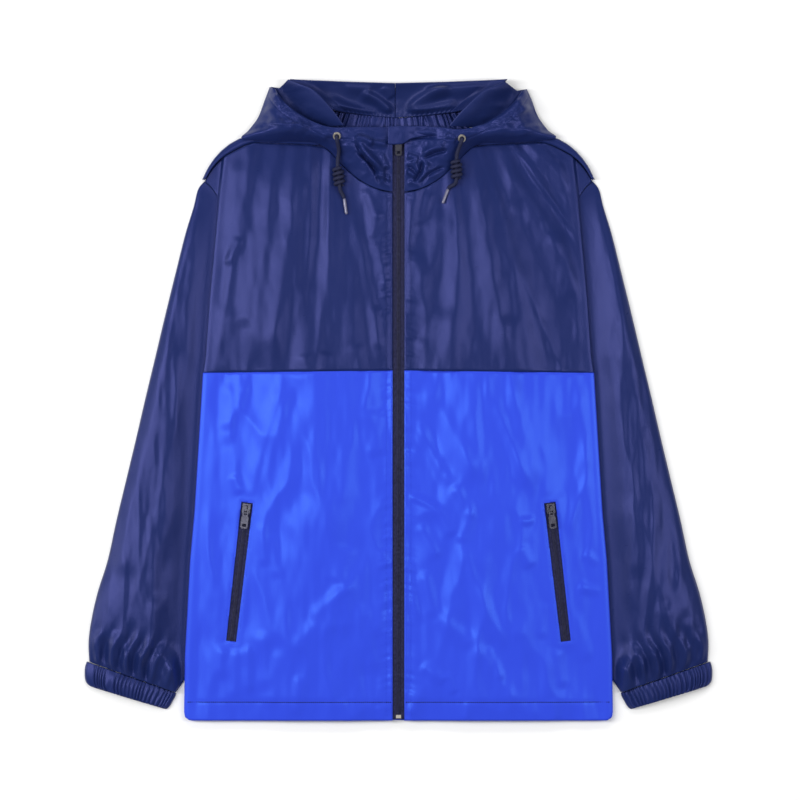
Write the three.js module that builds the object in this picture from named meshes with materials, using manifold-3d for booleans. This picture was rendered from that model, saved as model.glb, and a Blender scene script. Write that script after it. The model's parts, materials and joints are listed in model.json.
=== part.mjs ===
// Hooded windbreaker jacket, laid flat on its back with the front upward.
// Millimetres, +Z up. +Y runs from the hem to the hood, and the origin is under the middle of the jacket.

import * as THREE from 'three';
import Module from 'manifold-3d';

const manifold = await Module();
manifold.setup();

// Driving sizes of the cloth.
const WALL = 1.2;
const SEAM_GAP = 0.3;
const HEM_Y = -400;
const COLOUR_SEAM_Y = 37;
const COLOUR_SEAM_DROP = 3;
const ARMPIT_Y = 57;
const SHOULDER_POINT = { x: 242, y: 273 };

// Levels of the cloth's middle surface above the table.
const FLOOR_LEVEL = WALL / 2;
const SLEEVE_LOW_LEVEL = 3.0;
const WING_LEVEL = 4.6;
const EDGE_TOP_LEVEL = 9.4;

// Side fold of the body, from the hem to the shoulder.
const BODY_EDGE = [
  { y: -400, half: 265.5 },
  { y: -390, half: 267.5 },
  { y: -320, half: 266.5 },
  { y: -200, half: 260 },
  { y: -139, half: 254.5 },
  { y: 34, half: 244 },
  { y: 55, half: 241 },
  { y: 126, half: 236 },
  { y: 180, half: 231 },
  { y: 254, half: 224 },
  { y: 304, half: 218 },
  { y: 332, half: 214 },
];

// Armhole seam, from the armpit to the shoulder point.
const ARMHOLE = [
  { y: 57, x: 218 },
  { y: 150, x: 216 },
  { y: 220, x: 218 },
  { y: 254, x: 225 },
  { y: 266, x: 234 },
  { y: 273, x: 242 },
];

// Height of the front above the table: at the zip and at the crown between zip and side fold.
const FRONT_LEVELS = [
  { y: -400, zip: 11, crown: 13 },
  { y: -370, zip: 13, crown: 15.5 },
  { y: -200, zip: 15, crown: 18 },
  { y: 36, zip: 15, crown: 18.5 },
  { y: 200, zip: 16, crown: 18 },
  { y: 262, zip: 17, crown: 16 },
  { y: 300, zip: 19.5, crown: 13.5 },
  { y: 320, zip: 21.5, crown: 11.5 },
  { y: 345, zip: 24.5, crown: 11.5 },
];

// Upper edge of the front: neck seam, then the forward shoulder seam out to the shoulder point.
const FRONT_TOP = [
  { x: 7, y: 258.5 },
  { x: 20, y: 260 },
  { x: 35, y: 266 },
  { x: 49, y: 274 },
  { x: 69, y: 291 },
  { x: 80, y: 304 },
  { x: 92, y: 315 },
  { x: 112, y: 317.8 },
  { x: 180, y: 321 },
  { x: 192, y: 317 },
  { x: 204, y: 311 },
  { x: 217, y: 304 },
  { x: 225, y: 297 },
  { x: 233, y: 288 },
  { x: 242, y: 273.5 },
];

// Upper edge of the back's flat part.
const BACK_TOP = [
  { x: 0, y: 321.5 },
  { x: 60, y: 323.5 },
  { x: 94, y: 325.5 },
  { x: 150, y: 326 },
  { x: 184, y: 323 },
  { x: 198, y: 318 },
  { x: 210, y: 311 },
  { x: 220, y: 303 },
  { x: 229, y: 293 },
  { x: 235, y: 282 },
  { x: 242, y: 272 },
];

// Shoulder edge, where the back's cloth turns forward from its flat part, and the forward seam it ends at.
const SHOULDER_EDGE = [
  { baseX: 97, x: 97.5, y: 332, seamX: 97.5, seamY: 317.7 },
  { baseX: 150, x: 150, y: 332, seamX: 149, seamY: 320.9 },
  { baseX: 184, x: 185, y: 330.5, seamX: 178.5, seamY: 321.9 },
  { baseX: 198, x: 199.5, y: 326, seamX: 191.5, seamY: 318.3 },
  { baseX: 210, x: 211, y: 319.5, seamX: 203.6, seamY: 312.5 },
  { baseX: 220, x: 221.5, y: 311, seamX: 214.6, seamY: 306.6 },
  { baseX: 229, x: 230.5, y: 301, seamX: 224.7, seamY: 298.8 },
  { baseX: 236, x: 238, y: 290, seamX: 232.8, seamY: 290 },
  { baseX: 241.3, x: 244, y: 280.5, seamX: 239.6, seamY: 280 },
];

// Sleeve sections from the armhole to the cuff seam; bend is the share of the armhole's curve in the row.
const SLEEVE_SECTIONS = [
  { outerX: 242.5, outerY: 273.5, innerX: 218, innerY: 57, bend: 1, rise: 0 },
  { outerX: 250.5, outerY: 263, innerX: 218.4, innerY: 54, bend: 0.9, rise: 5 },
  { outerX: 256, outerY: 241, innerX: 218.8, innerY: 50, bend: 0.7, rise: 9 },
  { outerX: 266, outerY: 208, innerX: 219.2, innerY: 45, bend: 0.45, rise: 12 },
  { outerX: 278, outerY: 160, innerX: 220, innerY: 36, bend: 0.25, rise: 14 },
  { outerX: 291, outerY: 107, innerX: 221.2, innerY: 22, bend: 0.1, rise: 15 },
  { outerX: 304, outerY: 52, innerX: 223, innerY: -2, bend: 0, rise: 16 },
  { outerX: 316, outerY: 2, innerX: 226, innerY: -38, bend: 0, rise: 16 },
  { outerX: 328, outerY: -50, innerX: 230.5, innerY: -84, bend: 0, rise: 16 },
  { outerX: 340, outerY: -100, innerX: 235, innerY: -130, bend: 0, rise: 16 },
  { outerX: 352, outerY: -150, innerX: 239.5, innerY: -176, bend: 0, rise: 17 },
  { outerX: 363, outerY: -200, innerX: 244, innerY: -222, bend: 0, rise: 18 },
  { outerX: 375.5, outerY: -240, innerX: 247, innerY: -262, bend: 0, rise: 19 },
  { outerX: 383.5, outerY: -275, innerX: 250.5, innerY: -300, bend: 0, rise: 18 },
  { outerX: 387, outerY: -303, innerX: 259, innerY: -334, bend: 0, rise: 15 },
  { outerX: 386, outerY: -327, innerX: 278, innerY: -365, bend: 0, rise: 8.5 },
];
const SLEEVE_SCRUNCH = { start: 12.4, waves: 3, height: 1.6 };

// Elastic cuff: rows from the sleeve seam to the edge, the rise of its upper face and its gathers.
const CUFF_ROWS = [
  { outerX: 389.3, outerY: -326.9, innerX: 278, innerY: -366, puff: 0.3 },
  { outerX: 391.4, outerY: -334, innerX: 279.3, innerY: -370.5, puff: 0.7 },
  { outerX: 391, outerY: -350.5, innerX: 285.5, innerY: -381.5, puff: 0.7 },
  { outerX: 384.5, outerY: -357.5, innerX: 290.5, innerY: -386, puff: 0.3 },
];
const CUFF_RISE = 8.5;
const CUFF_GATHERS = { count: 15, height: 0.9, pointsPerWave: 3 };

// Largest folds of the fronts and of the sleeves: soft ridges (or troughs) between two plan points.
const LEFT_FRONT_FOLDS = [
  { x1: -28, y1: 245, x2: -17, y2: 60, width: 10, height: -2.2 },
  { x1: -70, y1: 262, x2: -48, y2: 40, width: 13, height: 2.0 },
  { x1: -110, y1: 290, x2: -205, y2: 130, width: 15, height: 2.4 },
  { x1: -150, y1: 300, x2: -222, y2: 200, width: 11, height: -1.8 },
  { x1: -90, y1: 240, x2: -150, y2: 60, width: 17, height: -1.8 },
  { x1: -150, y1: 20, x2: -120, y2: -160, width: 18, height: 2.2 },
  { x1: -60, y1: 10, x2: -40, y2: -200, width: 15, height: -1.8 },
  { x1: -160, y1: -40, x2: -150, y2: -250, width: 14, height: -1.6 },
  { x1: -120, y1: -180, x2: -90, y2: -390, width: 17, height: 1.8 },
];
const RIGHT_FRONT_FOLDS = [
  { x1: 24, y1: 245, x2: 16, y2: 60, width: 9, height: -1.8 },
  { x1: 66, y1: 262, x2: 100, y2: 60, width: 13, height: 2.2 },
  { x1: 115, y1: 290, x2: 215, y2: 120, width: 15, height: 2.4 },
  { x1: 90, y1: 240, x2: 190, y2: 60, width: 13, height: -2.0 },
  { x1: 150, y1: 300, x2: 222, y2: 210, width: 11, height: -1.6 },
  { x1: 40, y1: 15, x2: 90, y2: -170, width: 16, height: 2.2 },
  { x1: 20, y1: -40, x2: 60, y2: -300, width: 12, height: -1.8 },
  { x1: 140, y1: 15, x2: 145, y2: -120, width: 15, height: -1.8 },
  { x1: 150, y1: -200, x2: 100, y2: -390, width: 17, height: 1.6 },
];
const SLEEVE_FOLDS = [
  { x1: 252, y1: 235, x2: 292, y2: -30, width: 9, height: 2.4 },
  { x1: 268, y1: 150, x2: 318, y2: -120, width: 9, height: -2.4 },
  { x1: 262, y1: 20, x2: 300, y2: -230, width: 11, height: 2.6 },
  { x1: 330, y1: -100, x2: 352, y2: -300, width: 9, height: 2.6 },
  { x1: 290, y1: -150, x2: 325, y2: -330, width: 9, height: -2.6 },
  { x1: 268, y1: -250, x2: 300, y2: -345, width: 8, height: 2.4 },
];

// Hood, left and right halves. The drape runs from its base (shoulder outline, then neck seam) to the rim.
const HOOD_DRAPE_LEFT = [
  { baseX: 160.5, baseY: 391, lift: 5, rimX: 153.5, rimY: 387, rimZ: 16, bulge: 2 },
  { baseX: 167, baseY: 374, lift: 5.5, rimX: 144, rimY: 373, rimZ: 25, bulge: 4 },
  { baseX: 175, baseY: 353, lift: 7, rimX: 131, rimY: 361, rimZ: 30, bulge: 5 },
  { baseX: 187, baseY: 336.5, lift: 9, rimX: 118, rimY: 352.5, rimZ: 32, bulge: 6 },
  { baseX: 195, baseY: 326.5, lift: 2.8, rimX: 108, rimY: 347, rimZ: 32, bulge: 6 },
  { baseX: 166, baseY: 323, lift: 2.2, rimX: 99, rimY: 343.5, rimZ: 31.5, bulge: 7 },
  { baseX: 132, baseY: 322.5, lift: 2.2, rimX: 92, rimY: 341, rimZ: 31, bulge: 6 },
  { baseX: 103, baseY: 320.5, lift: 2.0, rimX: 84, rimY: 339.5, rimZ: 30.5, bulge: 5 },
  { baseX: 86, baseY: 310.7, lift: 0.4, rimX: 74, rimY: 339, rimZ: 30, bulge: 4 },
  { baseX: 68.5, baseY: 291.6, lift: 0, rimX: 60, rimY: 339.5, rimZ: 29, bulge: 3 },
  { baseX: 48.7, baseY: 274.9, lift: 0, rimX: 44, rimY: 340, rimZ: 27.5, bulge: 2 },
  { baseX: 28, baseY: 263.9, lift: 0, rimX: 26, rimY: 340, rimZ: 25.5, bulge: 1 },
  { baseX: 7.4, baseY: 259.5, lift: 0, rimX: 7.4, rimY: 340, rimZ: 24, bulge: 0 },
];
const HOOD_DRAPE_RIGHT = [
  { baseX: 160, baseY: 388.5, lift: 5, rimX: 154, rimY: 385, rimZ: 16, bulge: 2 },
  { baseX: 166, baseY: 375, lift: 5.5, rimX: 144, rimY: 371, rimZ: 25, bulge: 4 },
  { baseX: 174, baseY: 354, lift: 7, rimX: 131, rimY: 359, rimZ: 30, bulge: 5 },
  { baseX: 186, baseY: 337, lift: 9, rimX: 119, rimY: 350.5, rimZ: 32, bulge: 6 },
  { baseX: 196, baseY: 327, lift: 2.8, rimX: 108, rimY: 344, rimZ: 32, bulge: 6 },
  { baseX: 166, baseY: 322.5, lift: 2.2, rimX: 98, rimY: 341, rimZ: 31.5, bulge: 7 },
  { baseX: 132, baseY: 321, lift: 2.2, rimX: 90, rimY: 338.5, rimZ: 31, bulge: 6 },
  { baseX: 103, baseY: 320, lift: 2.0, rimX: 80, rimY: 337, rimZ: 30.5, bulge: 5 },
  { baseX: 86, baseY: 310.7, lift: 0.4, rimX: 70, rimY: 337, rimZ: 30, bulge: 4 },
  { baseX: 68.5, baseY: 291.6, lift: 0, rimX: 58, rimY: 339, rimZ: 29, bulge: 3 },
  { baseX: 48.7, baseY: 274.9, lift: 0, rimX: 44, rimY: 340, rimZ: 27.5, bulge: 2 },
  { baseX: 28, baseY: 263.9, lift: 0, rimX: 26, rimY: 340, rimZ: 25.5, bulge: 1 },
  { baseX: 7.4, baseY: 259.5, lift: 0, rimX: 7.4, rimY: 340, rimZ: 24, bulge: 0 },
];

// Inner wing of the hood: from the inner fold's crest, under the rim, out to the outer fold.
const HOOD_WING_LEFT = [
  { crestX: 68, crestY: 342, crestZ: 25, dipX: 100, dipY: 340, dipZ: 14, foldX: 184, foldY: 338, foldZ: 10 },
  { crestX: 83, crestY: 362, crestZ: 33, dipX: 126, dipY: 353, dipZ: 14, foldX: 174, foldY: 353, foldZ: 8 },
  { crestX: 104, crestY: 384, crestZ: 37, dipX: 138, dipY: 370, dipZ: 12, foldX: 166, foldY: 375, foldZ: 6.5 },
  { crestX: 123, crestY: 393, crestZ: 34, dipX: 146, dipY: 383, dipZ: 10, foldX: 162, foldY: 386, foldZ: 6 },
  { crestX: 137, crestY: 399, crestZ: 26, dipX: 149, dipY: 389, dipZ: 8, foldX: 159, foldY: 391, foldZ: 5.5 },
];
const HOOD_WING_RIGHT = [
  { crestX: 63, crestY: 341, crestZ: 25, dipX: 98, dipY: 340, dipZ: 14, foldX: 184, foldY: 338.5, foldZ: 10 },
  { crestX: 78, crestY: 359, crestZ: 33, dipX: 124, dipY: 352, dipZ: 14, foldX: 173, foldY: 354, foldZ: 8 },
  { crestX: 104, crestY: 383, crestZ: 37, dipX: 138, dipY: 369, dipZ: 12, foldX: 165.5, foldY: 375, foldZ: 6.5 },
  { crestX: 118, crestY: 390, crestZ: 34, dipX: 146, dipY: 380, dipZ: 10, foldX: 162, foldY: 384, foldZ: 6 },
  { crestX: 132, crestY: 396.5, crestZ: 26, dipX: 148, dipY: 386, dipZ: 8, foldX: 159, foldY: 388, foldZ: 5.5 },
];

// Bowl of the hood behind the neck: lower edge at the gathered band, upper edge at the top fold.
const HOOD_BOWL_LOW = [
  { share: 0, x: 0.15, y: 353.5, z: 4.2 },
  { share: 0.5, x: 42, y: 357, z: 6 },
  { share: 0.8, x: 66, y: 359.5, z: 12 },
  { share: 1, x: 82, y: 362, z: 33 },
];
const HOOD_BOWL_TOP = [
  { share: 0, x: 0.15, y: 394.3, z: 20 },
  { share: 0.5, x: 60, y: 395.8, z: 22 },
  { share: 0.85, x: 118, y: 398, z: 24 },
  { share: 1, x: 135, y: 399, z: 26 },
];
const HOOD_BOWL_SAG = 4;
const HOOD_SEAM_X = -4;
const HOOD_BACK_RETURN = 34;

// Folds that cross the hood's bowl, as ridges on its inside.
const HOOD_BOWL_FOLDS = [
  { x1: -94, y1: 375, x2: -30, y2: 357, width: 6, height: 3.2 },
  { x1: -50, y1: 381, x2: -10, y2: 358, width: 5, height: 2.4 },
  { x1: 10, y1: 384, x2: 100, y2: 393, width: 7, height: 3.0 },
  { x1: 20, y1: 360, x2: 80, y2: 376, width: 6, height: 2.4 },
];

// Scrunched folds of the hood's front below the rim.
const HOOD_FRONT_FOLDS = [
  { x1: -57, y1: 323, x2: -20, y2: 280, width: 5, height: 2.4 },
  { x1: -54, y1: 313, x2: -32, y2: 268, width: 5, height: -2.0 },
  { x1: -60, y1: 328, x2: -22, y2: 318, width: 5, height: 2.2 },
  { x1: 14, y1: 327, x2: 47, y2: 327, width: 4, height: 2.0 },
  { x1: 18, y1: 271, x2: 29, y2: 297, width: 5, height: 2.4 },
  { x1: 29, y1: 297, x2: 62, y2: 311, width: 5, height: 2.4 },
  { x1: -150, y1: 360, x2: -165, y2: 338, width: 5, height: 2.0 },
  { x1: 150, y1: 356, x2: 166, y2: 336, width: 5, height: 2.0 },
];

// Flap of the right rim that crosses over the top of the zip.
const ZIP_FLAP = [
  { x: -13, lowY: 318, highY: 340.3, lift: 7.8 },
  { x: 4, lowY: 318.5, highY: 340.8, lift: 8.5 },
  { x: 16, lowY: 325, highY: 341, lift: 6.7 },
  { x: 30, lowY: 328, highY: 341, lift: 3.5 },
  { x: 42, lowY: 330, highY: 340.5, lift: 1.7 },
];

// Gathered band between the back's neckline and the hood.
const NECK_BAND = { lowHalf: 93, lowY: 325.4, lowRise: 4.6, highHalf: 79, hoodGap: 0.7 };
const NECK_GATHERS = { count: 18, height: 1.5, level: 2.3, pointsPerWave: 3 };

// Zips: tape, coil, slider and pull tab.
const ZIP = {
  tapeHalf: 12,
  openHalf: 7,
  coilWidth: 5,
  coilHeight: 1.4,
  tapeDepth: 1.5,
  bottomY: -398,
  coilBottomY: -392.5,
  topY: 334,
};
const POCKET_ZIP = { topX: 188.8, topY: -128, bottomX: 208.8, bottomY: -301, half: 7.2, tapeHalf: 11 };
const SLIDER = { width: 10, length: 12, plate: 1.2, crownWidth: 2.4, crownLength: 8.6, crownHeight: 3.4 };
const CROWN_WALL = 0.8;
const PULL = { length: 24, width: 9, neckWidth: 7, thickness: 1.2, bar: 1.2, crownHole: 5.6, crownHoleWidth: 3.8 };
const MAIN_SLIDER_Y = 327.5;
const MAIN_PULL_WIDTH = 8;
const POCKET_SLIDER_INSET = 9;

const BOTTOM_STOP = { width: 6.4, length: 4.2, height: 2, lift: 0.15 };

// Drawcord ends, their eyelets, knots and end tips. Routes start in the eyelet and lie just above the cloth.
const CORD_DIAMETER = 4.8;
const CORD_SIDES = 8;
const EYELET = { outer: 5.4, inner: 2.8, height: 1.4, lift: 1.45 };
const KNOT = { width: 16, length: 28, height: 12 };
const TIP = { diameter: 3.8, endDiameter: 3.4 };
const DRAWCORDS = [
  {
    name: 'left',
    eyelet: { x: -76.6, y: 328.4, z: 30.4, tiltX: -0.07, tiltY: -0.45 },
    upper: [
      [-76.7, 327.8, 31.9], [-76.9, 326.2, 34.4], [-76.5, 323, 34.8], [-75.2, 317, 30.9],
      [-74.3, 310.5, 26.8], [-75, 303.5, 23.3], [-75.7, 298, 22.3], [-75.8, 292.6, 22.4],
    ],
    knot: { x: -74.5, y: 278.2, z: 22.4, turn: 5.7, pitch: 0 },
    tail: [[-72.9, 263.2, 21.8], [-71.6, 259.3, 20.8], [-69.3, 255.3, 20.2], [-67.8, 251.6, 20.2]],
    tip: { from: [-67.6, 250.9, 20.1], to: [-64.8, 231.4, 20.6] },
  },
  {
    name: 'right',
    eyelet: { x: 78.8, y: 325.5, z: 29.3, tiltX: 0.09, tiltY: -0.37 },
    upper: [
      [78.9, 325, 30.8], [79.1, 323.9, 33.3], [77.9, 320.3, 33.2], [75, 313, 29.2],
      [72.8, 306.2, 26.8], [72.4, 301.7, 26.1],
    ],
    knot: { x: 72.2, y: 287, z: 24.1, turn: 2, pitch: 6 },
    tail: [[71.5, 271.6, 22.2], [70.2, 269.2, 20.9], [67.2, 267.2, 20], [64, 265.6, 19.6], [62, 263.2, 19.6]],
    tip: { from: [61.7, 262.5, 19.5], to: [55, 245, 19.9] },
  },
];

const COLOURS = {
  navy: 0x2a3170,
  royal: 0x2f55e6,
  tape: 0x1a1c38,
  coil: 0x14162c,
  gunmetal: 0x5c5f66,
  silver: 0xc9c7c0,
  cord: 0x1c2148,
};

const clamp = (value, low, high) => Math.min(Math.max(value, low), high);

function smooth(share) {
  const t = clamp(share, 0, 1);
  return t * t * (3 - 2 * t);
}

const lerp = (from, to, share) => from + (to - from) * share;

// Value of one column of a table at a place along its key column, straight between the rows.
function between(table, key, column, place) {
  const last = table.length - 1;
  const rising = table[last][key] > table[0][key];
  let row = 0;
  while (row < last - 1 && (rising ? place > table[row + 1][key] : place < table[row + 1][key])) {
    row += 1;
  }
  const span = table[row + 1][key] - table[row][key];
  const share = clamp((place - table[row][key]) / span, 0, 1);
  return lerp(table[row][column], table[row + 1][column], share);
}

// A row of a table at a fractional row number, every column on a smooth curve through the rows.
function rowAt(table, place) {
  const last = table.length - 1;
  const row = Math.min(Math.floor(place), last - 1);
  const t = place - row;
  const result = {};
  for (const column of Object.keys(table[0])) {
    const before = table[Math.max(row - 1, 0)][column];
    const here = table[row][column];
    const next = table[row + 1][column];
    const after = table[Math.min(row + 2, last)][column];
    const slopeHere = (next - before) / 2;
    const slopeNext = (after - here) / 2;
    const bend = (2 * t ** 3 - 3 * t * t + 1) * here + (t ** 3 - 2 * t * t + t) * slopeHere;
    result[column] = bend + (3 * t * t - 2 * t ** 3) * next + (t ** 3 - t * t) * slopeNext;
  }
  return result;
}

// Height that a list of folds adds at a plan point.
function foldHeight(folds, x, y) {
  let height = 0;
  for (const fold of folds) {
    const runX = fold.x2 - fold.x1;
    const runY = fold.y2 - fold.y1;
    const run = Math.hypot(runX, runY);
    const along = ((x - fold.x1) * runX + (y - fold.y1) * runY) / (run * run);
    const aside = ((x - fold.x1) * runY - (y - fold.y1) * runX) / run;
    if (along > 0 && along < 1) {
      height += fold.height * Math.sin(Math.PI * along) * Math.exp(-((aside / fold.width) ** 2));
    }
  }
  return height;
}

// Closed cloth wall around a grid of middle points; a ring's rows close on themselves.
function clothWall(rows, isRing, wall = WALL) {
  const rowCount = rows.length;
  const columnCount = rows[0].length;
  const point = (row, column) => {
    const c = isRing ? (column + columnCount) % columnCount : clamp(column, 0, columnCount - 1);
    return rows[clamp(row, 0, rowCount - 1)][c];
  };
  const positions = [];
  for (const side of [1, -1]) {
    for (let r = 0; r < rowCount; r += 1) {
      for (let c = 0; c < columnCount; c += 1) {
        const across = new THREE.Vector3().subVectors(point(r, c + 1), point(r, c - 1));
        const along = new THREE.Vector3().subVectors(point(r + 1, c), point(r - 1, c));
        const normal = across.cross(along).normalize();
        const moved = point(r, c).clone().addScaledVector(normal, side * wall / 2);
        positions.push(moved.x, moved.y, moved.z);
      }
    }
  }
  const triangles = [];
  const index = (face, row, column) => (face * rowCount + row) * columnCount + column % columnCount;
  const quad = (a, b, c, d) => triangles.push(a, b, c, a, c, d);
  const columnSteps = isRing ? columnCount : columnCount - 1;
  for (let r = 0; r < rowCount - 1; r += 1) {
    for (let c = 0; c < columnSteps; c += 1) {
      quad(index(0, r, c), index(0, r, c + 1), index(0, r + 1, c + 1), index(0, r + 1, c));
      quad(index(1, r, c), index(1, r + 1, c), index(1, r + 1, c + 1), index(1, r, c + 1));
    }
    if (!isRing) {
      const end = columnCount - 1;
      quad(index(0, r, 0), index(0, r + 1, 0), index(1, r + 1, 0), index(1, r, 0));
      quad(index(0, r, end), index(1, r, end), index(1, r + 1, end), index(0, r + 1, end));
    }
  }
  for (let c = 0; c < columnSteps; c += 1) {
    const end = rowCount - 1;
    quad(index(0, 0, c), index(1, 0, c), index(1, 0, c + 1), index(0, 0, c + 1));
    quad(index(0, end, c), index(0, end, c + 1), index(1, end, c + 1), index(1, end, c));
  }
  return facingOut(positions, triangles);
}

// Geometry from points and triangles, turned so that its volume is positive.
function facingOut(positions, triangles) {
  let volume = 0;
  const corner = (number) => new THREE.Vector3().fromArray(positions, number * 3);
  for (let i = 0; i < triangles.length; i += 3) {
    const [a, b, c] = [corner(triangles[i]), corner(triangles[i + 1]), corner(triangles[i + 2])];
    volume += a.dot(b.cross(c));
  }
  if (volume < 0) {
    triangles.reverse();
  }
  const geometry = new THREE.BufferGeometry();
  geometry.setAttribute('position', new THREE.Float32BufferAttribute(positions, 3));
  geometry.setIndex(triangles);
  return geometry;
}

// Shared vertices of a geometry, as a solid that can be joined and cut.
function toSolid(geometry) {
  const source = geometry.index ? geometry : geometry.clone();
  const position = source.getAttribute('position');
  const places = new Map();
  const vertices = [];
  const triangles = [];
  const count = source.index ? source.index.count : position.count;
  for (let i = 0; i < count; i += 1) {
    const vertex = source.index ? source.index.getX(i) : i;
    const place = [position.getX(vertex), position.getY(vertex), position.getZ(vertex)];
    const name = place.map((value) => Math.round(value * 1e4)).join(' ');
    if (!places.has(name)) {
      places.set(name, places.size);
      vertices.push(...place);
    }
    triangles.push(places.get(name));
  }
  return new manifold.Manifold(new manifold.Mesh({
    numProp: 3,
    vertProperties: new Float32Array(vertices),
    triVerts: new Uint32Array(triangles),
  }));
}

function fromSolid(solid) {
  const mesh = solid.getMesh();
  const geometry = new THREE.BufferGeometry();
  geometry.setAttribute('position', new THREE.Float32BufferAttribute(mesh.vertProperties, 3));
  geometry.setIndex(Array.from(mesh.triVerts));
  return geometry;
}

const joined = (...geometries) => fromSolid(geometries.map(toSolid).reduce((sum, next) => sum.add(next)));

const cutFrom = (geometry, cutter) => fromSolid(toSolid(geometry).subtract(toSolid(cutter)));

const steps = (count) => Array.from({ length: count + 1 }, (_, i) => i / count);

const bodyHalf = (y) => between(BODY_EDGE, 'y', 'half', y);

const armholeX = (y) => between(ARMHOLE, 'y', 'x', y);

const colourSeamY = (x) => COLOUR_SEAM_Y - COLOUR_SEAM_DROP * Math.abs(x) / bodyHalf(COLOUR_SEAM_Y);

const sleeveInnerX = (y) => between(SLEEVE_SECTIONS.slice(5), 'innerY', 'innerX', y);

const SIDE_SEAM_INSET = 6;
const ARMPIT_TURN_Y = 44;

// Side seam below the armpit, armhole seam above it.
function seamX(y) {
  const sideSeam = bodyHalf(y) - SIDE_SEAM_INSET;
  const turn = smooth((y - ARMPIT_TURN_Y) / (ARMPIT_Y - 2 - ARMPIT_TURN_Y));
  return y >= ARMPIT_Y ? armholeX(y) : lerp(sideSeam, armholeX(ARMPIT_Y) - 1.2, turn);
}

// Height of the front's middle surface at a plan point inside the side fold.
function frontLevel(x, y) {
  const share = Math.abs(x) / bodyHalf(y);
  const zip = between(FRONT_LEVELS, 'y', 'zip', y);
  const crown = between(FRONT_LEVELS, 'y', 'crown', y);
  const nearZip = lerp(zip, crown, smooth((share - 0.03) / 0.4));
  const level = lerp(nearZip, EDGE_TOP_LEVEL, smooth((share - 0.45) / 0.53));
  const inside = smooth((Math.abs(x) - ZIP.tapeHalf) / 10) * smooth((1 - share) / 0.08);
  const folds = x < 0 ? LEFT_FRONT_FOLDS : RIGHT_FRONT_FOLDS;
  return level + inside * foldHeight(folds, x, y);
}

// Turn of the front's cloth at the side fold, as steps from the fold line and heights.
const FOLD_TURN = [
  { inset: 2.6, level: 9.2 },
  { inset: 0.7, level: 8.5 },
  { inset: 0, level: 7 },
  { inset: 0.7, level: 5.5 },
  { inset: 2.6, level: 4.8 },
];
const FRONT_COLUMNS = 10;

// A panel's point is walked to its edges in eased passes, as an edge's height and width set each other.
const EDGE_PASSES = 24;
const EDGE_EASE = 0.5;

// Middle point of the front at column share 0 to 1 from the zip to the fold, or on the turn behind it.
function frontPoint(side, column, y) {
  const fold = bodyHalf(y);
  const start = ZIP.openHalf + SEAM_GAP;
  if (column <= FRONT_COLUMNS) {
    const x = lerp(start, fold - 5, column / FRONT_COLUMNS);
    return new THREE.Vector3(side * x, y, frontLevel(side * x, y));
  }
  const seam = seamX(y);
  const outward = smooth((seam - fold + 4) / 8);
  const turn = FOLD_TURN[column - FRONT_COLUMNS - 1];
  if (turn) {
    const past = column - FRONT_COLUMNS > 3 ? lerp(-turn.inset, turn.inset + 1, outward) : -turn.inset;
    return new THREE.Vector3(side * (fold + past), y, turn.level);
  }
  return new THREE.Vector3(side * seam, y, WING_LEVEL);
}

// Front panel between two edges that are functions of x.
function frontPanel(side, lowEdge, highEdge, shares) {
  const columns = Array.from({ length: FRONT_COLUMNS + FOLD_TURN.length + 2 }, (_, i) => i);
  return shares.map((share) => columns.map((column) => {
    let y = 0;
    for (let pass = 0; pass < EDGE_PASSES; pass += 1) {
      const x = Math.abs(frontPoint(side, column, y).x);
      y = lerp(y, lerp(lowEdge(x), highEdge(x), share), EDGE_EASE);
    }
    return frontPoint(side, column, y);
  }));
}

const HEM_CORNER = { radius: 7 };

// Hem line, lifted a little at its rounded corners.
function hemY(x) {
  const corner = Math.max(Math.abs(x) - (bodyHalf(HEM_Y) - HEM_CORNER.radius), 0);
  return HEM_Y + corner * corner / (2 * HEM_CORNER.radius);
}

// Columns of the back: shares of its flat part, then the rise over the sleeve and the side seam.
const BACK_FLAT = [0, 0.2, 0.405, 0.43, 0.62, 0.78, 0.88, 0.95, 1];
const BACK_RISE = [{ before: 5.5, rise: 0.5 }, { before: 0, rise: 1 }];
const RISE_RUN = 11;
const BACK_SEAM_EASE = 0.75;
const SHOULDER_EASE = 2.6;

// Point of the back on the right half, at a share between two edges: flat, raised over the sleeve's edge.
function backPoint(column, lowEdge, highEdge, share) {
  const point = new THREE.Vector3(0, 0, FLOOR_LEVEL);
  for (let pass = 0; pass < EDGE_PASSES; pass += 1) {
    const seam = seamX(point.y) - BACK_SEAM_EASE - SHOULDER_EASE * smooth((point.y - 205) / 40);
    const raised = point.y < ARMPIT_Y + 3;
    const lap = raised ? Math.min(sleeveInnerX(point.y), seam + 1.4) - 2.4 : seam - 3;
    if (column < BACK_FLAT.length) {
      point.x = BACK_FLAT[column] * (lap - RISE_RUN);
    } else {
      const step = BACK_RISE[column - BACK_FLAT.length];
      point.x = step ? lap - step.before : seam;
      point.z = raised ? lerp(FLOOR_LEVEL, WING_LEVEL, step ? step.rise : 1) : FLOOR_LEVEL;
    }
    point.y = lerp(point.y, lerp(lowEdge(point.x), highEdge(point.x), share), EDGE_EASE);
  }
  return point;
}

// Row of the back from the left side seam to the right one, from the points of its right half.
function bothSides(half) {
  const mirrored = half.slice(1).map((point) => new THREE.Vector3(-point.x, point.y, point.z));
  return [...mirrored.reverse(), ...half];
}

const BACK_COLUMNS = Array.from({ length: BACK_FLAT.length + BACK_RISE.length + 1 }, (_, i) => i);

function backPanel(lowEdge, highEdge, shares) {
  return shares.map((share) => bothSides(
    BACK_COLUMNS.map((column) => backPoint(column, lowEdge, highEdge, share)),
  ));
}

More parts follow.
